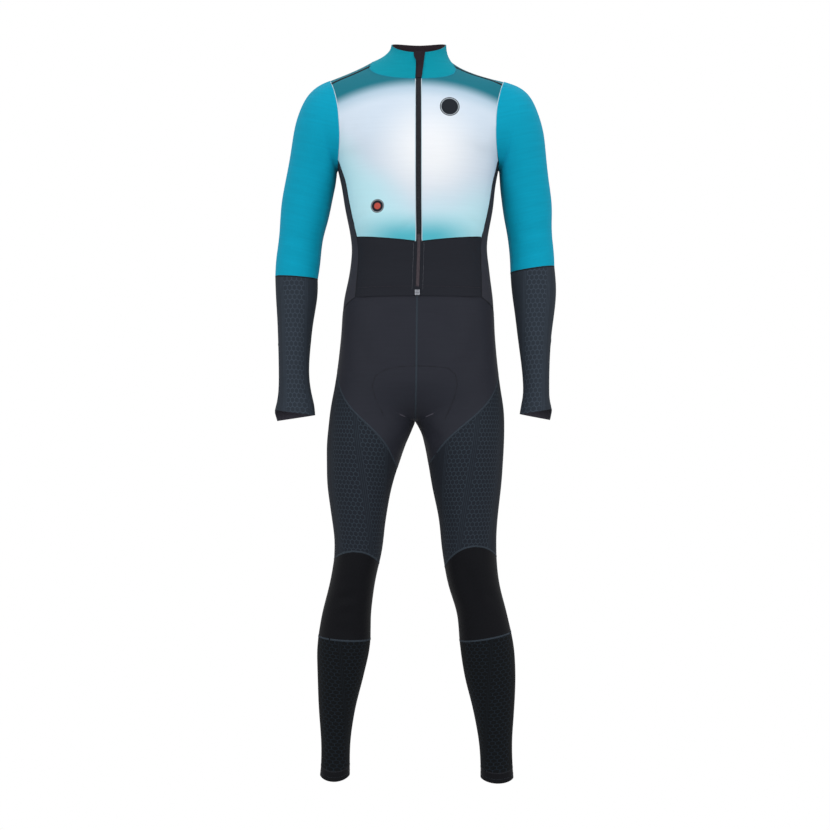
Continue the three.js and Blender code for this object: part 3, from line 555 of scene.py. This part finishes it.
def limb_axis(piece):
    """Middle of the lower and of the upper end, and a radius that grows evenly along the limb"""
    points = border_points(piece.data)
    halfway = sum((p.z for p in points)) / len(points)
    ends = [[p for p in points if (p.z < halfway) == low] for low in (True, False)]
    foot, head = [sum(end, Vector()) / len(end) for end in ends]
    up = (head - foot).normalized()
    halves = ([], [])
    for vertex in piece.data.vertices:
        climb = (vertex.co - foot).dot(up)
        reach = (vertex.co - foot - up * climb).length
        halves[climb > (head - foot).length / 2].append((climb, reach))
    (low, near), (high, far) = [[sum(values) / len(half) for values in zip(*half)]
                                for half in halves]
    return (foot, head), lambda v: near + (far - near) * (v - low) / (high - low)


LIMBS = ("thigh", "knee", "calf", "ankle", "sleeve", "forearm")
TRUNK_AXIS = (Vector((0, 0, -0.7)), Vector((0, 0, 0)))
TRUNK_RADIUS = 0.14
for name, piece in cloth.items():
    part, _, side = name.rpartition("_")
    if part in LIMBS:
        axis, radius = limb_axis(piece)
        lay_out(piece, Vector((SIDES[side], 0, 0)), axis, radius)
        # The turn is mirrored on the wearer's left, so that U grows forwards on both sides
        if side == "left":
            for entry in piece.data.uv_layers["Cloth"].data:
                entry.uv.x *= -1
    else:
        lay_out(piece, Vector((0, -1, 0)), TRUNK_AXIS, lambda v: TRUNK_RADIUS)
print("laid out:", len(cloth), "pieces")

# %% [markdown]
# ## Creases
#
# A tight suit has few creases: where the body bends, and where two pulls meet. Each is a soft
# trough between two low ridges, placed as a line on the front or the back, with its own
# width and depth in millimetres. All pieces move by the same rule, so a crease may cross a seam.

# %% Creases
FRONT, BACK = -1, 1
CREASES = [
    # x0, z0, x1, z1, side, width, depth
    (94, -330, 124, -400, FRONT, 6, 1.7),  # band, below the chest panel
    (111, -334, 124, -372, FRONT, 5, 1.2),
    (-122, -344, -103, -396, FRONT, 7, 0.8),
    (-78, -436, -22, -446, FRONT, 9, 0.7),
    (30, -440, 86, -432, FRONT, 8, 0.6),
    (-4, -306, -32, -334, FRONT, 6, 0.8),  # foot of the chest
    (-122, -312, -96, -292, FRONT, 6, 0.8),
    (84, -300, 128, -318, FRONT, 7, 0.7),
    (-146, -120, -158, -222, FRONT, 11, 2.4),  # armpits
    (150, -128, 160, -220, FRONT, 11, 2.6),
    (-160, -128, -190, -232, FRONT, 15, 2.2),
    (164, -136, 186, -240, FRONT, 14, 2.0),
    (-140, -176, -112, -128, FRONT, 10, 1.0),
    (142, -180, 118, -124, FRONT, 9, 1.1),
    (-262, -330, -196, -352, FRONT, 15, 1.6),  # inside of the elbows
    (-268, -366, -200, -380, FRONT, 11, 1.2),
    (264, -318, 196, -334, FRONT, 14, 1.5),
    (262, -352, 190, -368, FRONT, 12, 1.3),
    (-244, -252, -214, -260, FRONT, 6, 0.7),
    (238, -246, 212, -256, FRONT, 6, 0.6),
    (-226, -430, -262, -446, FRONT, 9, 0.9),  # forearms
    (214, -420, 252, -436, FRONT, 9, 0.8),
    (-216, -596, -252, -610, FRONT, 8, 1.0),
    (218, -592, 246, -604, FRONT, 8, 0.9),
    (34, -470, 62, -566, FRONT, 26, 2.6),  # belly to groin
    (-40, -474, -66, -560, FRONT, 26, 2.0),
    (-118, -490, -84, -600, FRONT, 16, 1.2),
    (122, -498, 92, -610, FRONT, 17, 1.3),
    (4, -680, 62, -660, FRONT, 12, 1.3),  # groin
    (8, -694, 46, -724, FRONT, 8, 1.6),
    (-6, -684, -52, -664, FRONT, 12, 1.2),
    (-8, -698, -38, -734, FRONT, 8, 1.5),
    (-158, -1026, -112, -1014, FRONT, 8, 2.4),  # knees
    (-150, -1052, -118, -1046, FRONT, 7, 1.1),
    (82, -940, 116, -1046, FRONT, 13, 2.4),
    (126, -1010, 156, -1030, FRONT, 8, 1.2),
    (-160, -1080, -110, -1090, FRONT, 9, 0.9),
    (-178, -1340, -140, -1348, FRONT, 6, 0.8),  # ankles
    (136, -1344, 176, -1350, FRONT, 6, 0.8),
    (-158, -1016, -104, -1030, BACK, 9, 3.0),  # backs of the knees
    (-162, -1046, -100, -1044, BACK, 8, 2.4),
    (-150, -990, -100, -1004, BACK, 8, 1.5),
    (98, -1010, 152, -1024, BACK, 9, 2.8),
    (94, -1042, 158, -1038, BACK, 8, 2.2),
    (102, -986, 148, -996, BACK, 8, 1.4),
    (-150, -664, -34, -700, BACK, 12, 3.2),  # under the seat
    (150, -668, 38, -706, BACK, 12, 3.0),
    (-120, -722, -52, -738, BACK, 9, 1.6),
    (118, -726, 48, -742, BACK, 9, 1.7),
    (-96, -392, 82, -402, BACK, 15, 2.4),  # small of the back
    (-60, -430, 104, -424, BACK, 13, 1.9),
    (-108, -352, -14, -366, BACK, 12, 1.4),
    (-160, -220, -128, -132, BACK, 11, 2.2),  # backs of the armpits
    (160, -222, 130, -128, BACK, 11, 2.3),
    (-262, -372, -208, -384, BACK, 10, 2.0),  # elbows
    (258, -358, 204, -372, BACK, 10, 2.0),
    (-258, -400, -214, -396, BACK, 8, 1.2),
    (254, -388, 208, -392, BACK, 8, 1.2),
    (-178, -1342, -142, -1346, BACK, 6, 0.9),
    (140, -1348, 176, -1344, BACK, 6, 0.8),
]


def crease(place, outward):
    """How far a point of the cloth moves out, in metres"""
    x, z, total = place.x / MM, place.z / MM, 0
    for x0, z0, x1, z1, side, width, depth in CREASES:
        facing = outward.y * side
        if facing < 0.05 or abs(2 * z - z0 - z1) > abs(z1 - z0) + 6 * width:
            continue
        length = math.hypot(x1 - x0, z1 - z0)
        along = ((x - x0) * (x1 - x0) + (z - z0) * (z1 - z0)) / length ** 2
        if not 0 < along < 1:
            continue
        off = ((x - x0) * (z1 - z0) - (z - z0) * (x1 - x0)) / length / width
        profile = 0.45 * math.exp(-(off - 1.8) ** 2) + 0.3 * math.exp(-(off + 1.8) ** 2)
        profile -= math.exp(-off ** 2)
        total += depth * profile * math.sin(math.pi * along) ** 0.8 * min(1, 2 * facing)
    return total * MM


for piece in cloth.values():
    moved = [v.co + v.normal * crease(v.co, v.normal) for v in piece.data.vertices]
    for vertex, place in zip(piece.data.vertices, moved):
        vertex.co = place
    piece.data.update()
print("creases:", len(CREASES))

# %% [markdown]
# ## Finding places on the cloth
#
# Seams and stitches lie on the cloth, so they need its border lines and a way to drop a point
# onto it. A border line is a chain of border edges of one piece that run along another's border.


# %% Borders and surface search
def borders(piece):
    """Border edges, as pairs of points with the way out at each"""
    work = bmesh.new()
    work.from_mesh(piece.data)
    work.normal_update()
    found = [tuple((v.index, v.co.copy(), v.normal.copy()) for v in e.verts)
             for e in work.edges if e.is_boundary]
    work.free()
    return found


EDGES = {name: borders(piece) for name, piece in cloth.items()}
SURFACE = {}
for name, piece in cloth.items():
    SURFACE[name] = BVHTree.FromPolygons([v.co for v in piece.data.vertices],
                                         [f.vertices[:] for f in piece.data.polygons])


def nearness(name):
    """A search tree over closely spaced points of a piece's border"""
    spots = []
    for (_, a, na), (_, b, nb) in EDGES[name]:
        spots += [(a.lerp(b, t / 6), na.lerp(nb, t / 6)) for t in range(6)]
    tree = KDTree(len(spots))
    for i, (spot, _) in enumerate(spots):
        tree.insert(spot, i)
    tree.balance()
    return tree, [way for _, way in spots]


NEAR = {name: nearness(name) for name in cloth}


def chains(edges):
    """Joins edges into lines of (place, way out). A closed line ends where it starts."""
    places, links = {}, {}
    for (i, a, na), (j, b, nb) in edges:
        places[i], places[j] = (a, na), (b, nb)
        links.setdefault(i, []).append(j)
        links.setdefault(j, []).append(i)
    lines = []
    while links:
        ends = [i for i, near in links.items() if len(near) == 1]
        at = ends[0] if ends else next(iter(links))
        line = [at]
        while links.get(at):
            after = links[at].pop()
            links[after].remove(at)
            if not links[at]:
                del links[at]
            at = after
            line.append(at)
        links.pop(at, None)
        if len(line) > 2:
            lines.append([places[i] for i in line])
    return lines


def shared_border(first, second, reach=1.4 * MM):
    """Lines along the seam of two pieces, with the mean of their ways out"""
    tree, ways = NEAR[second]

    def near(place):
        return tree.find(place)[2] < reach

    edges = []
    for ends in EDGES[first]:
        if all(near(place) for _, place, _ in ends):
            edges.append(tuple((i, place, (way + ways[tree.find(place)[1]]).normalized())
                               for i, place, way in ends))
    return chains(edges)


def spaced(line, step):
    """The same line with points a given distance apart"""
    out, left = [line[0]], step
    for (a, na), (b, nb) in zip(line, line[1:]):
        length, done = (b - a).length, 0
        while length - done >= left:
            done += left
            share = done / length
            out.append((a.lerp(b, share), na.lerp(nb, share).normalized()))
            left = step
        left -= length - done
    return out


print("seam from chest to sleeve:", len(shared_border("chest_right", "sleeve_right")), "line")

# %% [markdown]
# ## Flat seams
#
# A cycling suit is sewn with flat-lock seams: the two edges lie side by side under a ladder of
# threads, about 4 mm wide and half a millimetre proud. Each is a narrow ribbon along the border
# line, raised in the middle, with its stitches drawn across it by the material.


# %% Seam ribbons
def ribbon(line, half, rise, work, layer):
    """Adds a raised strip along a line to a bmesh"""
    closed = (line[0][0] - line[-1][0]).length < 1e-6
    line = line[:-1] if closed else line
    count, rows, length = len(line), [], 0
    for i, (place, way) in enumerate(line):
        before = line[i - 1][0] if i or closed else place
        after = line[(i + 1) % count][0] if i + 1 < count or closed else place
        side = way.cross(after - before).normalized()
        length += (place - line[i - 1][0]).length if i else 0
        row = [work.verts.new(place + side * half * s + way * h)
               for s, h in ((-1, -0.2 * MM), (-0.7, rise), (0, 0.8 * rise), (0.7, rise),
                            (1, -0.2 * MM))]
        rows.append((row, length))
    pairs = list(zip(rows, rows[1:])) + ([(rows[-1], (rows[0][0], length + 4 * MM))]
                                         if closed else [])
    for (low, a), (high, b) in pairs:
        for k in range(4):
            face = work.faces.new((low[k], low[k + 1], high[k + 1], high[k]))
            face.smooth = True
            uv = ((a, k), (a, k + 1), (b, k + 1), (b, k))
            for loop, (u, v) in zip(face.loops, uv):
                loop[layer].uv = (u, (v - 2) * half / 2)


def sewn_on(name, work, material, slot):
    """Turns a bmesh into a finished piece of the suit"""
    bmesh.ops.recalc_face_normals(work, faces=work.faces)
    mesh = bpy.data.meshes.new(name)
    work.to_mesh(mesh)
    work.free()
    piece = link(name, mesh)
    piece.data.materials.append(material)
    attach(piece, "root")
    print(name, len(mesh.polygons), "faces")


def seams(name, pairs, material, slot, half=1.9 * MM, rise=0.45 * MM, reach=1.4 * MM):
    """One piece that holds the ribbons of several seams"""
    work = bmesh.new()
    layer = work.loops.layers.uv.new("Cloth")
    for first, second in pairs:
        lines = shared_border(first, second, reach)
        if not lines:
            print("no seam between", first, "and", second)
        for line in lines:
            ribbon(spaced(line, 4 * MM) if len(line) > 3 else line, half, rise, work, layer)
    sewn_on(name, work, material, slot)


# %% Threads of the seams
LADDER = 1.6 * MM


def seam_thread(name, colour, thread):
    """Ladder of threads across the ribbon"""
    material, tree, shader = start(name)
    place = node(tree, "ShaderNodeUVMap", uv_map="Cloth")
    parts = node(tree, "ShaderNodeSeparateXYZ", {0: place})
    slanted = node(tree, "ShaderNodeMath", {0: parts.outputs[1], 1: 0.5, 2: parts.outputs[0]},
                   operation="MULTIPLY_ADD")
    wave = node(tree, "ShaderNodeMath", {0: slanted, 1: 2 * math.pi / LADDER},
                operation="MULTIPLY")
    threads = node(tree, "ShaderNodeMath", {0: wave}, operation="SINE")
    share = node(tree, "ShaderNodeMapRange", {"Value": threads, "From Min": -0.4})
    mixed = node(tree, "ShaderNodeMix", {"Factor": share, "A": srgb(colour), "B": srgb(thread)},
                 data_type="RGBA")
    bump = node(tree, "ShaderNodeBump", {"Height": threads, "Distance": 0.2 * MM,
                                         "Strength": 0.5})
    tree.links.new(mixed.outputs[2], shader.inputs["Base Color"])
    tree.links.new(bump.outputs[0], shader.inputs["Normal"])
    shader.inputs["Roughness"].default_value = 0.7
    shader.inputs["IOR"].default_value = 1.5
    shader.inputs["Specular IOR Level"].default_value = 0.15
    return material


slate_seam = seam_thread("flat-lock seam, slate thread", "#262D35", "#3D4853")
black_seam = seam_thread("flat-lock seam, black thread", "#15161A", "#25272D")
teal_seam = seam_thread("flat-lock seam, teal thread", "#007F99", "#0BA0BA")
pale_seam = seam_thread("flat-lock seam, pale thread", "#B5CBD6", "#D3E4EC")
print("seam threads, from", slate_seam.name, "to", pale_seam.name)


# %% The seams
def each_side(*pairs):
    """Pairs of pieces for the right and for the left"""
    return [(f"{a}_{side}", f"{b}_{side}") for side in SIDES for a, b in pairs]


leg_seams = each_side(("front_tights", "thigh"), ("thigh", "knee"), ("knee", "calf"),
                      ("seat", "thigh"))
leg_seams += [("front_tights_right", "front_tights_left")]
dark_seams = each_side(("side", "front_tights"), ("side", "seat"), ("calf", "ankle"),
                       ("side", "front_band"), ("front_tights", "seat"), ("side", "chest"),
                       ("sleeve", "forearm"))
dark_seams += [("side_right", "back"), ("side_left", "back"), ("back", "seat_right"),
               ("back", "seat_left"), ("seat_right", "seat_left")]
teal_seams = each_side(("side", "sleeve"))
teal_seams += [("back", "sleeve_right"), ("back", "sleeve_left"), ("collar", "back"),
               ("collar", "chest_right"), ("collar", "chest_left")]
band_seams = each_side(("chest", "front_band"))
pale_seams = [(f"chest_{side}", other) for side in SIDES
              for other in (f"sleeve_{side}", "zip_tape")]
seams("seams_legs", leg_seams, slate_seam, "tights")
seams("seams_dark", dark_seams, black_seam, "jersey", half=1.5 * MM, rise=0.35 * MM)
seams("seams_teal", teal_seams, teal_seam, "teal", half=1.1 * MM, rise=0.3 * MM)
seams("seams_band", band_seams, black_seam, "jersey", half=1.2 * MM, rise=0.3 * MM)
seams("seams_pale", pale_seams, pale_seam, "chest", half=0.8 * MM, rise=0.2 * MM, reach=2.6 * MM)

# %% [markdown]
# ## Piping on the shoulders
#
# A narrow black piping is sewn onto each front panel, a finger's width before the shoulder seam,
# so that it shows from in front. It is a ribbon like a seam, along the line of the shoulder tape
# moved forwards and dropped onto the panel.

# %% Shoulder piping
FORWARDS = Vector((0, -19, -9)) * MM
PIPING_HALF, PIPING_RISE = 3 * MM, 0.9 * MM
piping = bmesh.new()
layer = piping.loops.layers.uv.new("Cloth")
for side in SIDES:
    front = SURFACE["chest_" + side]
    for line in shared_border("chest_" + side, "shoulder_tape_" + side, 2.6 * MM):
        moved = [front.find_nearest(place + FORWARDS)[:2] for place, _ in line]
        ribbon(spaced(moved, 4 * MM), PIPING_HALF, PIPING_RISE, piping, layer)
sewn_on("piping_shoulders", piping, black_seam, "tape")

# %% [markdown]
# ## Stitches in open cloth
#
# Some stitches run through one piece rather than along a seam: beside the zip, along the hem of
# the lower front, at the cuffs and ankles, and in a zigzag where the seat pad is sewn in. Each
# stitch is a spindle of eight triangles that lies on the cloth, pointing along its line.


# %% Stitches
def drop(name, x, z):
    """Place and way out on the front of a piece, behind a point in mm seen from the front"""
    return SURFACE[name].ray_cast(Vector((x * MM, -1, z * MM)), Vector((0, 1, 0)))[:2]


def dropped(names, points):
    """The same for a list of points, each on the first of the pieces that it meets"""
    hits = [next((hit for hit in (drop(name, x, z) for name in names) if hit[0]), None)
            for x, z in points]
    return [hit for hit in hits if hit]


def hem_line(name, above):
    """A line round a limb, at a distance above the lower end of a piece"""
    rings = chains(EDGES[name])
    lowest = min(rings, key=lambda ring: sum(place.z for place, _ in ring) / len(ring))
    return [SURFACE[name].find_nearest(place + Vector((0, 0, above)))[:2] for place, _ in lowest]


def stitches(name, lines, material, slot, period, length, thick, zigzag=0):
    """One piece of stitches along lines of (place, way out). From one stitch to the next is a
    period. zigzag is how far they lean to and fro. Sizes are in mm."""
    work = bmesh.new()
    for line in lines:
        points = spaced(line, period * MM)
        for i, (place, way) in enumerate(points[1:-1], 1):
            along = (points[i + 1][0] - points[i - 1][0]).normalized()
            side = way.cross(along)
            lean = zigzag * (1 if i % 2 else -1)
            along = (along + side * lean).normalized()
            across = way.cross(along)
            middle = place + way * 0.15 * MM
            ends = [work.verts.new(middle + along * s * length / 2 * MM) for s in (-1, 1)]
            belt = [work.verts.new(middle + (across * a + way * b) * thick / 2 * MM)
                    for a, b in ((1, 0), (0, 1), (-1, 0), (0, -1))]
            for k in range(4):
                work.faces.new((belt[k], belt[(k + 1) % 4], ends[0]))
                work.faces.new((belt[(k + 1) % 4], belt[k], ends[1]))
    sewn_on(name, work, material, slot)


# %% Threads
def thread(name, colour, light):
    """Twisted polyester thread: its plies show as fine slanting streaks"""
    material, tree, shader = start(name)
    place = node(tree, "ShaderNodeTexCoord").outputs["Object"]
    plies = node(tree, "ShaderNodeTexNoise", {"Vector": place, "Scale": 900, "Detail": 2})
    colours = ramp(tree, plies, [(0.35, colour), (0.65, light)])
    tree.links.new(colours.outputs[0], shader.inputs["Base Color"])
    shader.inputs["Roughness"].default_value = 0.6
    shader.inputs["Specular IOR Level"].default_value = 0.25
    return material


pale_thread = thread("polyester thread, silver grey", "#6E7078", "#A3A6AE")
plum_thread = thread("polyester thread, plum", "#30262C", "#4B3D44")
dark_thread = thread("polyester thread, black", "#0B0C0E", "#191A1E")
slate_thread = thread("polyester thread, slate", "#2B333B", "#4A5661")
print("threads, from", pale_thread.name, "to", slate_thread.name)


# %% Lines of stitches
def middle_of_zip(z):
    """Middle of the zip's tape at a height in mm, from the points of its border near it"""
    near = [place.x for edge in EDGES["zip_tape"] for _, place, _ in edge
            if abs(place.z - z * MM) < 20 * MM]
    return sum(near) / len(near) / MM


# Heights of the band's top seam and of its hem stitches, and from the zip's middle to the stitches
# beside it, in mm
BAND_TOP, BAND_HEM, BESIDE = -336, -433, 9.8
BAND = ["front_band_right", "front_band_left"]
FRONT_TIGHTS = ["front_tights_right", "front_tights_left"]
beside_zip = [dropped(BAND, [(middle_of_zip(z) + off, z) for z in range(BAND_TOP - 2, -446, -4)])
              for off in (-BESIDE, BESIDE)]
band_hem = [dropped(BAND, [(x * side, BAND_HEM) for x in range(9, 122, 4)]) for side in (-1, 1)]
# Outline of the seat pad, seen from the front
PAD = [(-52, -703), (-66, -668), (-79, -640), (-84, -618), (-78, -600), (-58, -588), (-30, -583),
       (0, -582), (30, -583), (58, -586), (72, -598), (75, -617), (70, -640), (60, -664), (50, -686)]
pad_outline = [dropped(FRONT_TIGHTS, PAD)]
ends_of_limbs = [hem_line(f"{part}_{side}", above * MM) for side in SIDES
                 for part, above in (("forearm", 9), ("ankle", 8))]
stitches("stitches_zip", beside_zip, pale_thread, "zip", period=2.6, length=1.5, thick=0.5)
stitches("stitches_band", band_hem, plum_thread, "jersey", period=2.6, length=2.0, thick=0.5)
stitches("stitches_pad", pad_outline, dark_thread, "tights", period=3.4, length=4.4, thick=1.1,
         zigzag=0.9)
stitches("stitches_hems", ends_of_limbs, slate_thread, "knee", period=2.8, length=2.1, thick=0.5)

# %% [markdown]
# ## The zip
#
# A coil zip has a spiral of nylon sewn to each side of its tape. From the front each turn shows as
# a short bar, and the bars of the two sides lie in turn, like the teeth of two combs. One bar is
# shaped from a cube and copied every 1.4 mm on both sides, seated on the tape. The nylon is black,
# and in the dark band it turns brown, a painted highlight.


# %% Helpers for small hard pieces
def seated(place, way, lift):
    """Matrix that sets a model on the cloth, with its own Y into the cloth"""
    side = (Vector((1, 0, 0)) - way * way.x).normalized()
    matrix = Matrix((side, -way, side.cross(-way))).transposed().to_4x4()
    matrix.translation = place + way * lift * MM
    return matrix


def repeated(name, model, places):
    """One piece from copies of a model, each set down by its own matrix"""
    work = bmesh.new()
    for matrix in places:
        before = len(work.verts)
        work.from_mesh(model.data)
        work.verts.ensure_lookup_table()
        bmesh.ops.transform(work, matrix=matrix, verts=work.verts[before:])
    mesh = bpy.data.meshes.new(name)
    work.to_mesh(mesh)
    work.free()
    bpy.data.objects.remove(model)
    return link(name, mesh)


def rounded_block(size, rounding, segments=1):
    """A block of a size in mm with its edges rounded"""
    bpy.ops.object.select_all(action="DESELECT")
    bpy.ops.mesh.primitive_cube_add(size=1)
    block = bpy.context.object
    bpy.ops.object.mode_set(mode="EDIT")
    bpy.ops.transform.resize(value=[length * MM for length in size])
    bpy.ops.mesh.bevel(offset=rounding * MM, segments=segments, affect="EDGES")
    bpy.ops.object.mode_set(mode="OBJECT")
    print("block:", len(block.data.polygons), "faces")
    return block


# %% Zip coil
nylon, tree, shader = start("nylon coil, black with painted brown highlight")
place = node(tree, "ShaderNodeTexCoord").outputs["Object"]
height = node(tree, "ShaderNodeSeparateXYZ", {0: place}).outputs[2]
low = soft_step(tree, height, BAND_TOP + 2, BAND_TOP - 2)
cloudy = node(tree, "ShaderNodeTexNoise", {"Vector": place, "Scale": 400, "Detail": 2})
# The brown below the band's top seam is a painted highlight on the black nylon
brown = ramp(tree, cloudy, [(0.3, "#433A40"), (0.7, "#5A4F55")])
dark_nylon = ramp(tree, cloudy, [(0.3, "#1D1D22"), (0.7, "#2B2B31")])
mixed = node(tree, "ShaderNodeMix", {"Factor": low, "A": dark_nylon, "B": brown}, data_type="RGBA")
tree.links.new(mixed.outputs[2], shader.inputs["Base Color"])
shader.inputs["Roughness"].default_value = 0.45
shader.inputs["Specular IOR Level"].default_value = 0.3

tooth = rounded_block((3.3, 0.8, 0.95), 0.22)
# Distance between bars, how far each row lies from the middle, and the ends of the coil, in mm
PITCH, ASIDE = 1.4, 1.35
COIL_TOP, COIL_FOOT = -39, -434
turns = []
for row in range(int((COIL_TOP - COIL_FOOT) / PITCH * 2)):
    z = COIL_TOP - row * PITCH / 2
    side = 1 if row % 2 else -1
    turns.append(seated(*drop("zip_tape", middle_of_zip(z) + ASIDE * side, z), 0.2))
coil = repeated("zip_coil", tooth, turns)
coil.data.materials.append(nylon)
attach(coil, "root")
print("bars in the coil:", len(turns), "with", len(coil.data.polygons), "faces")

# %% [markdown]
# ## The box at the foot of the zip
#
# The box is zinc, cast in a mould and plated a dark grey. It holds the ends of both tapes. A block
# is cut by two planes into three bands, and the upper and lower ones are sunk, which leaves a bar
# between two windows. Plating on a casting is smooth but faintly cloudy.

# %% Shape of the zip box
BAR = 0.8  # from the middle of the box to either edge of its bar, in mm
box = rounded_block((9, 1.6, 10.6), 0.45, segments=2)
bpy.ops.object.mode_set(mode="EDIT")
for cut in (-BAR, BAR):
    bpy.ops.mesh.select_all(action="SELECT")
    bpy.ops.mesh.bisect(plane_co=(0, 0, cut * MM), plane_no=(0, 0, 1))
bpy.ops.mesh.select_all(action="DESELECT")
bpy.ops.object.mode_set(mode="OBJECT")
for face in box.data.polygons:
    face.select = face.normal.y < -0.99 and abs(face.center.z) > 1 * MM and face.area > 8 * MM ** 2
bpy.ops.object.mode_set(mode="EDIT")
bpy.ops.mesh.select_mode(type="FACE")
bpy.ops.mesh.inset(thickness=0.9 * MM, use_individual=True)
bpy.ops.transform.translate(value=(0, 0.45 * MM, 0))
bpy.ops.object.mode_set(mode="OBJECT")
print("box:", len(box.data.polygons), "faces")

# %% Place and plating of the zip box
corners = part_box("zip_box")
centre = (Vector(corners[0]) + Vector(corners[1])) / 2 / MM
spot_on_tape, way = drop("zip_tape", centre.x, centre.z)
lift = (centre * MM - spot_on_tape).dot(way) / MM
zip_box = repeated("zip_box_cast", box, [seated(spot_on_tape, way, lift)])
zinc, tree, shader = start("cast zinc, grey plating")
place = node(tree, "ShaderNodeTexCoord").outputs["Object"]
cloudy = node(tree, "ShaderNodeTexNoise", {"Vector": place, "Scale": 700, "Detail": 4})
worn = ramp(tree, cloudy, [(0.35, "#7C7F87"), (0.7, "#A4A7AE")])
gloss = node(tree, "ShaderNodeMapRange", {"Value": cloudy, "To Min": 0.28, "To Max": 0.5})
tree.links.new(worn.outputs[0], shader.inputs["Base Color"])
tree.links.new(gloss.outputs[0], shader.inputs["Roughness"])
shader.inputs["Metallic"].default_value = 1
zip_box.data.materials.append(zinc)
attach(zip_box, "root")
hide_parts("zip_box")
print("box lifted off the tape by", round(lift, 2), "mm")

# %% [markdown]
# ## Thickness
#
# Solidify gives each sheet the thickness of cloth, inwards, and puts the soft inside on the
# second material. The collar keeps the full thickness of its solids, because it is two layers
# with stiffening between them.

# %% Thickness and materials
OUTSIDE = {
    "chest": chest_knit, "front_band": black_knit, "side": side_knit, "shoulder_tape": black_knit,
    "front_tights": tights_knit, "seat": tights_knit, "thigh": thigh_knit, "knee": knee_knit,
    "calf": calf_knit, "ankle": knee_knit, "sleeve": teal_knit, "forearm": arm_knit,
    "back": teal_knit, "collar": collar_knit, "collar_lining": collar_inside,
    "zip_tape": black_knit, "zip_guard": guard_knit,
}
THICK = {"collar": 1.5, "collar_lining": 1.1, "zip_tape": 0.8, "zip_guard": 0.9}
for name, piece in cloth.items():
    part = name if name in OUTSIDE else name.rpartition("_")[0]
    piece.data.materials.append(OUTSIDE[part])
    piece.data.materials.append(collar_inside if "collar" in name else inside_fleece)
    solid = piece.modifiers.new("Thickness", "SOLIDIFY")
    solid.thickness = THICK.get(name, 1.0) * MM
    solid.offset = -1
    solid.material_offset = 1
    apply_modifiers(piece)
    for face in piece.data.polygons:
        face.use_smooth = True
    bpy.ops.object.select_all(action="DESELECT")
    piece.select_set(True)
    bpy.ops.object.shade_smooth_by_angle(angle=math.radians(50))
print("sheets with thickness:", len(cloth))

# %% [markdown]
# ## What each sheet was cut to
#
# Each piece stands for its solid and moves with the suit. A table lists the size of cloth that
# each was cut from: the width and length of the cut in metres, and its area.

# %% Cut sizes
CUTS = {
    # width, length, area in square metres
    "chest": (0.205, 0.34, 0.0508), "front_band": (0.135, 0.125, 0.0136),
    "side": (0.145, 0.34, 0.0275), "shoulder_tape": (0.01, 0.1, 0.0005),
    "front_tights": (0.225, 0.36, 0.0505), "seat": (0.24, 0.36, 0.0495),
    "thigh": (0.54, 0.375, 0.1165), "knee": (0.36, 0.19, 0.0495), "calf": (0.34, 0.27, 0.068),
    "ankle": (0.22, 0.021, 0.0038), "sleeve": (0.52, 0.38, 0.1005), "forearm": (0.27, 0.30, 0.0565),
    "back": (0.41, 0.48, 0.15), "collar": (0.43, 0.09, 0.018), "collar_lining": (0.42, 0.09, 0.0175),
    "zip_tape": (0.0112, 0.468, 0.0051), "zip_guard": (0.021, 0.055, 0.0007),
}
for name, piece in cloth.items():
    part = name if name in CUTS else name.rpartition("_")[0]
    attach(piece, "root")
    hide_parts(name)
print("cuts:", len(CUTS))

# %% [markdown]
# ## Floor and light
#
# A pale sweep of paper runs under the suit and up behind it. Two large soft boxes stand in
# front, left and right, with a third above and a fourth behind, so the sides of each limb turn
# slightly darker.


# %% Studio
def light_panel(name, place, size, power):
    bpy.ops.object.light_add(type="AREA", location=place)
    panel = bpy.context.object
    panel.name = name
    panel.data.size = size
    panel.data.energy = power
    target = Vector((0, 0, -0.6))
    panel.rotation_euler = (target - panel.location).to_track_quat("-Z", "Y").to_euler()
    print(name, power, "W")


FLOOR_SIZE, FLOOR_DEPTH = 14, -1.75
bpy.ops.mesh.primitive_plane_add(size=FLOOR_SIZE, location=(0, 0, FLOOR_DEPTH))
floor = bpy.context.object
floor.name = "floor"
paper, tree, shader = start("paper sweep, white")
shader.inputs["Base Color"].default_value = srgb("#F7F7F8")
shader.inputs["Emission Color"].default_value = (1, 1, 1, 1)
shader.inputs["Emission Strength"].default_value = 0.5
shader.inputs["Roughness"].default_value = 0.9
floor.data.materials.append(paper)
bpy.ops.object.mode_set(mode="EDIT")
bpy.ops.mesh.select_all(action="DESELECT")
bpy.ops.object.mode_set(mode="OBJECT")
for edge in floor.data.edges:
    edge.select = all(floor.data.vertices[i].co.y > 6 for i in edge.vertices)
bpy.ops.object.mode_set(mode="EDIT")
bpy.ops.mesh.extrude_region_move(TRANSFORM_OT_translate={"value": (0, 0, 9)})
bpy.ops.object.mode_set(mode="OBJECT")

light_panel("soft box left", (-2.6, -3.2, 0.9), 2.2, 44)
light_panel("soft box right", (2.6, -3.2, 0.7), 2.2, 40)
light_panel("soft box above", (0, -1.6, 3.2), 3, 33)
light_panel("soft box behind", (0, 3.2, 1.6), 3, 30)
world = bpy.data.worlds.new("studio air")
world.use_nodes = True
air = world.node_tree
air.nodes["Background"].inputs["Color"].default_value = (1, 1, 1, 1)
# Beyond the paper the camera sees plain white, while the air lights the suit only softly
seen = node(air, "ShaderNodeLightPath").outputs["Is Camera Ray"]
strength = node(air, "ShaderNodeMapRange", {"Value": seen, "To Min": 0.53, "To Max": 1.0})
air.links.new(strength.outputs[0], air.nodes["Background"].inputs["Strength"])
bpy.context.scene.world = world
bpy.context.scene.view_settings.view_transform = "Standard"
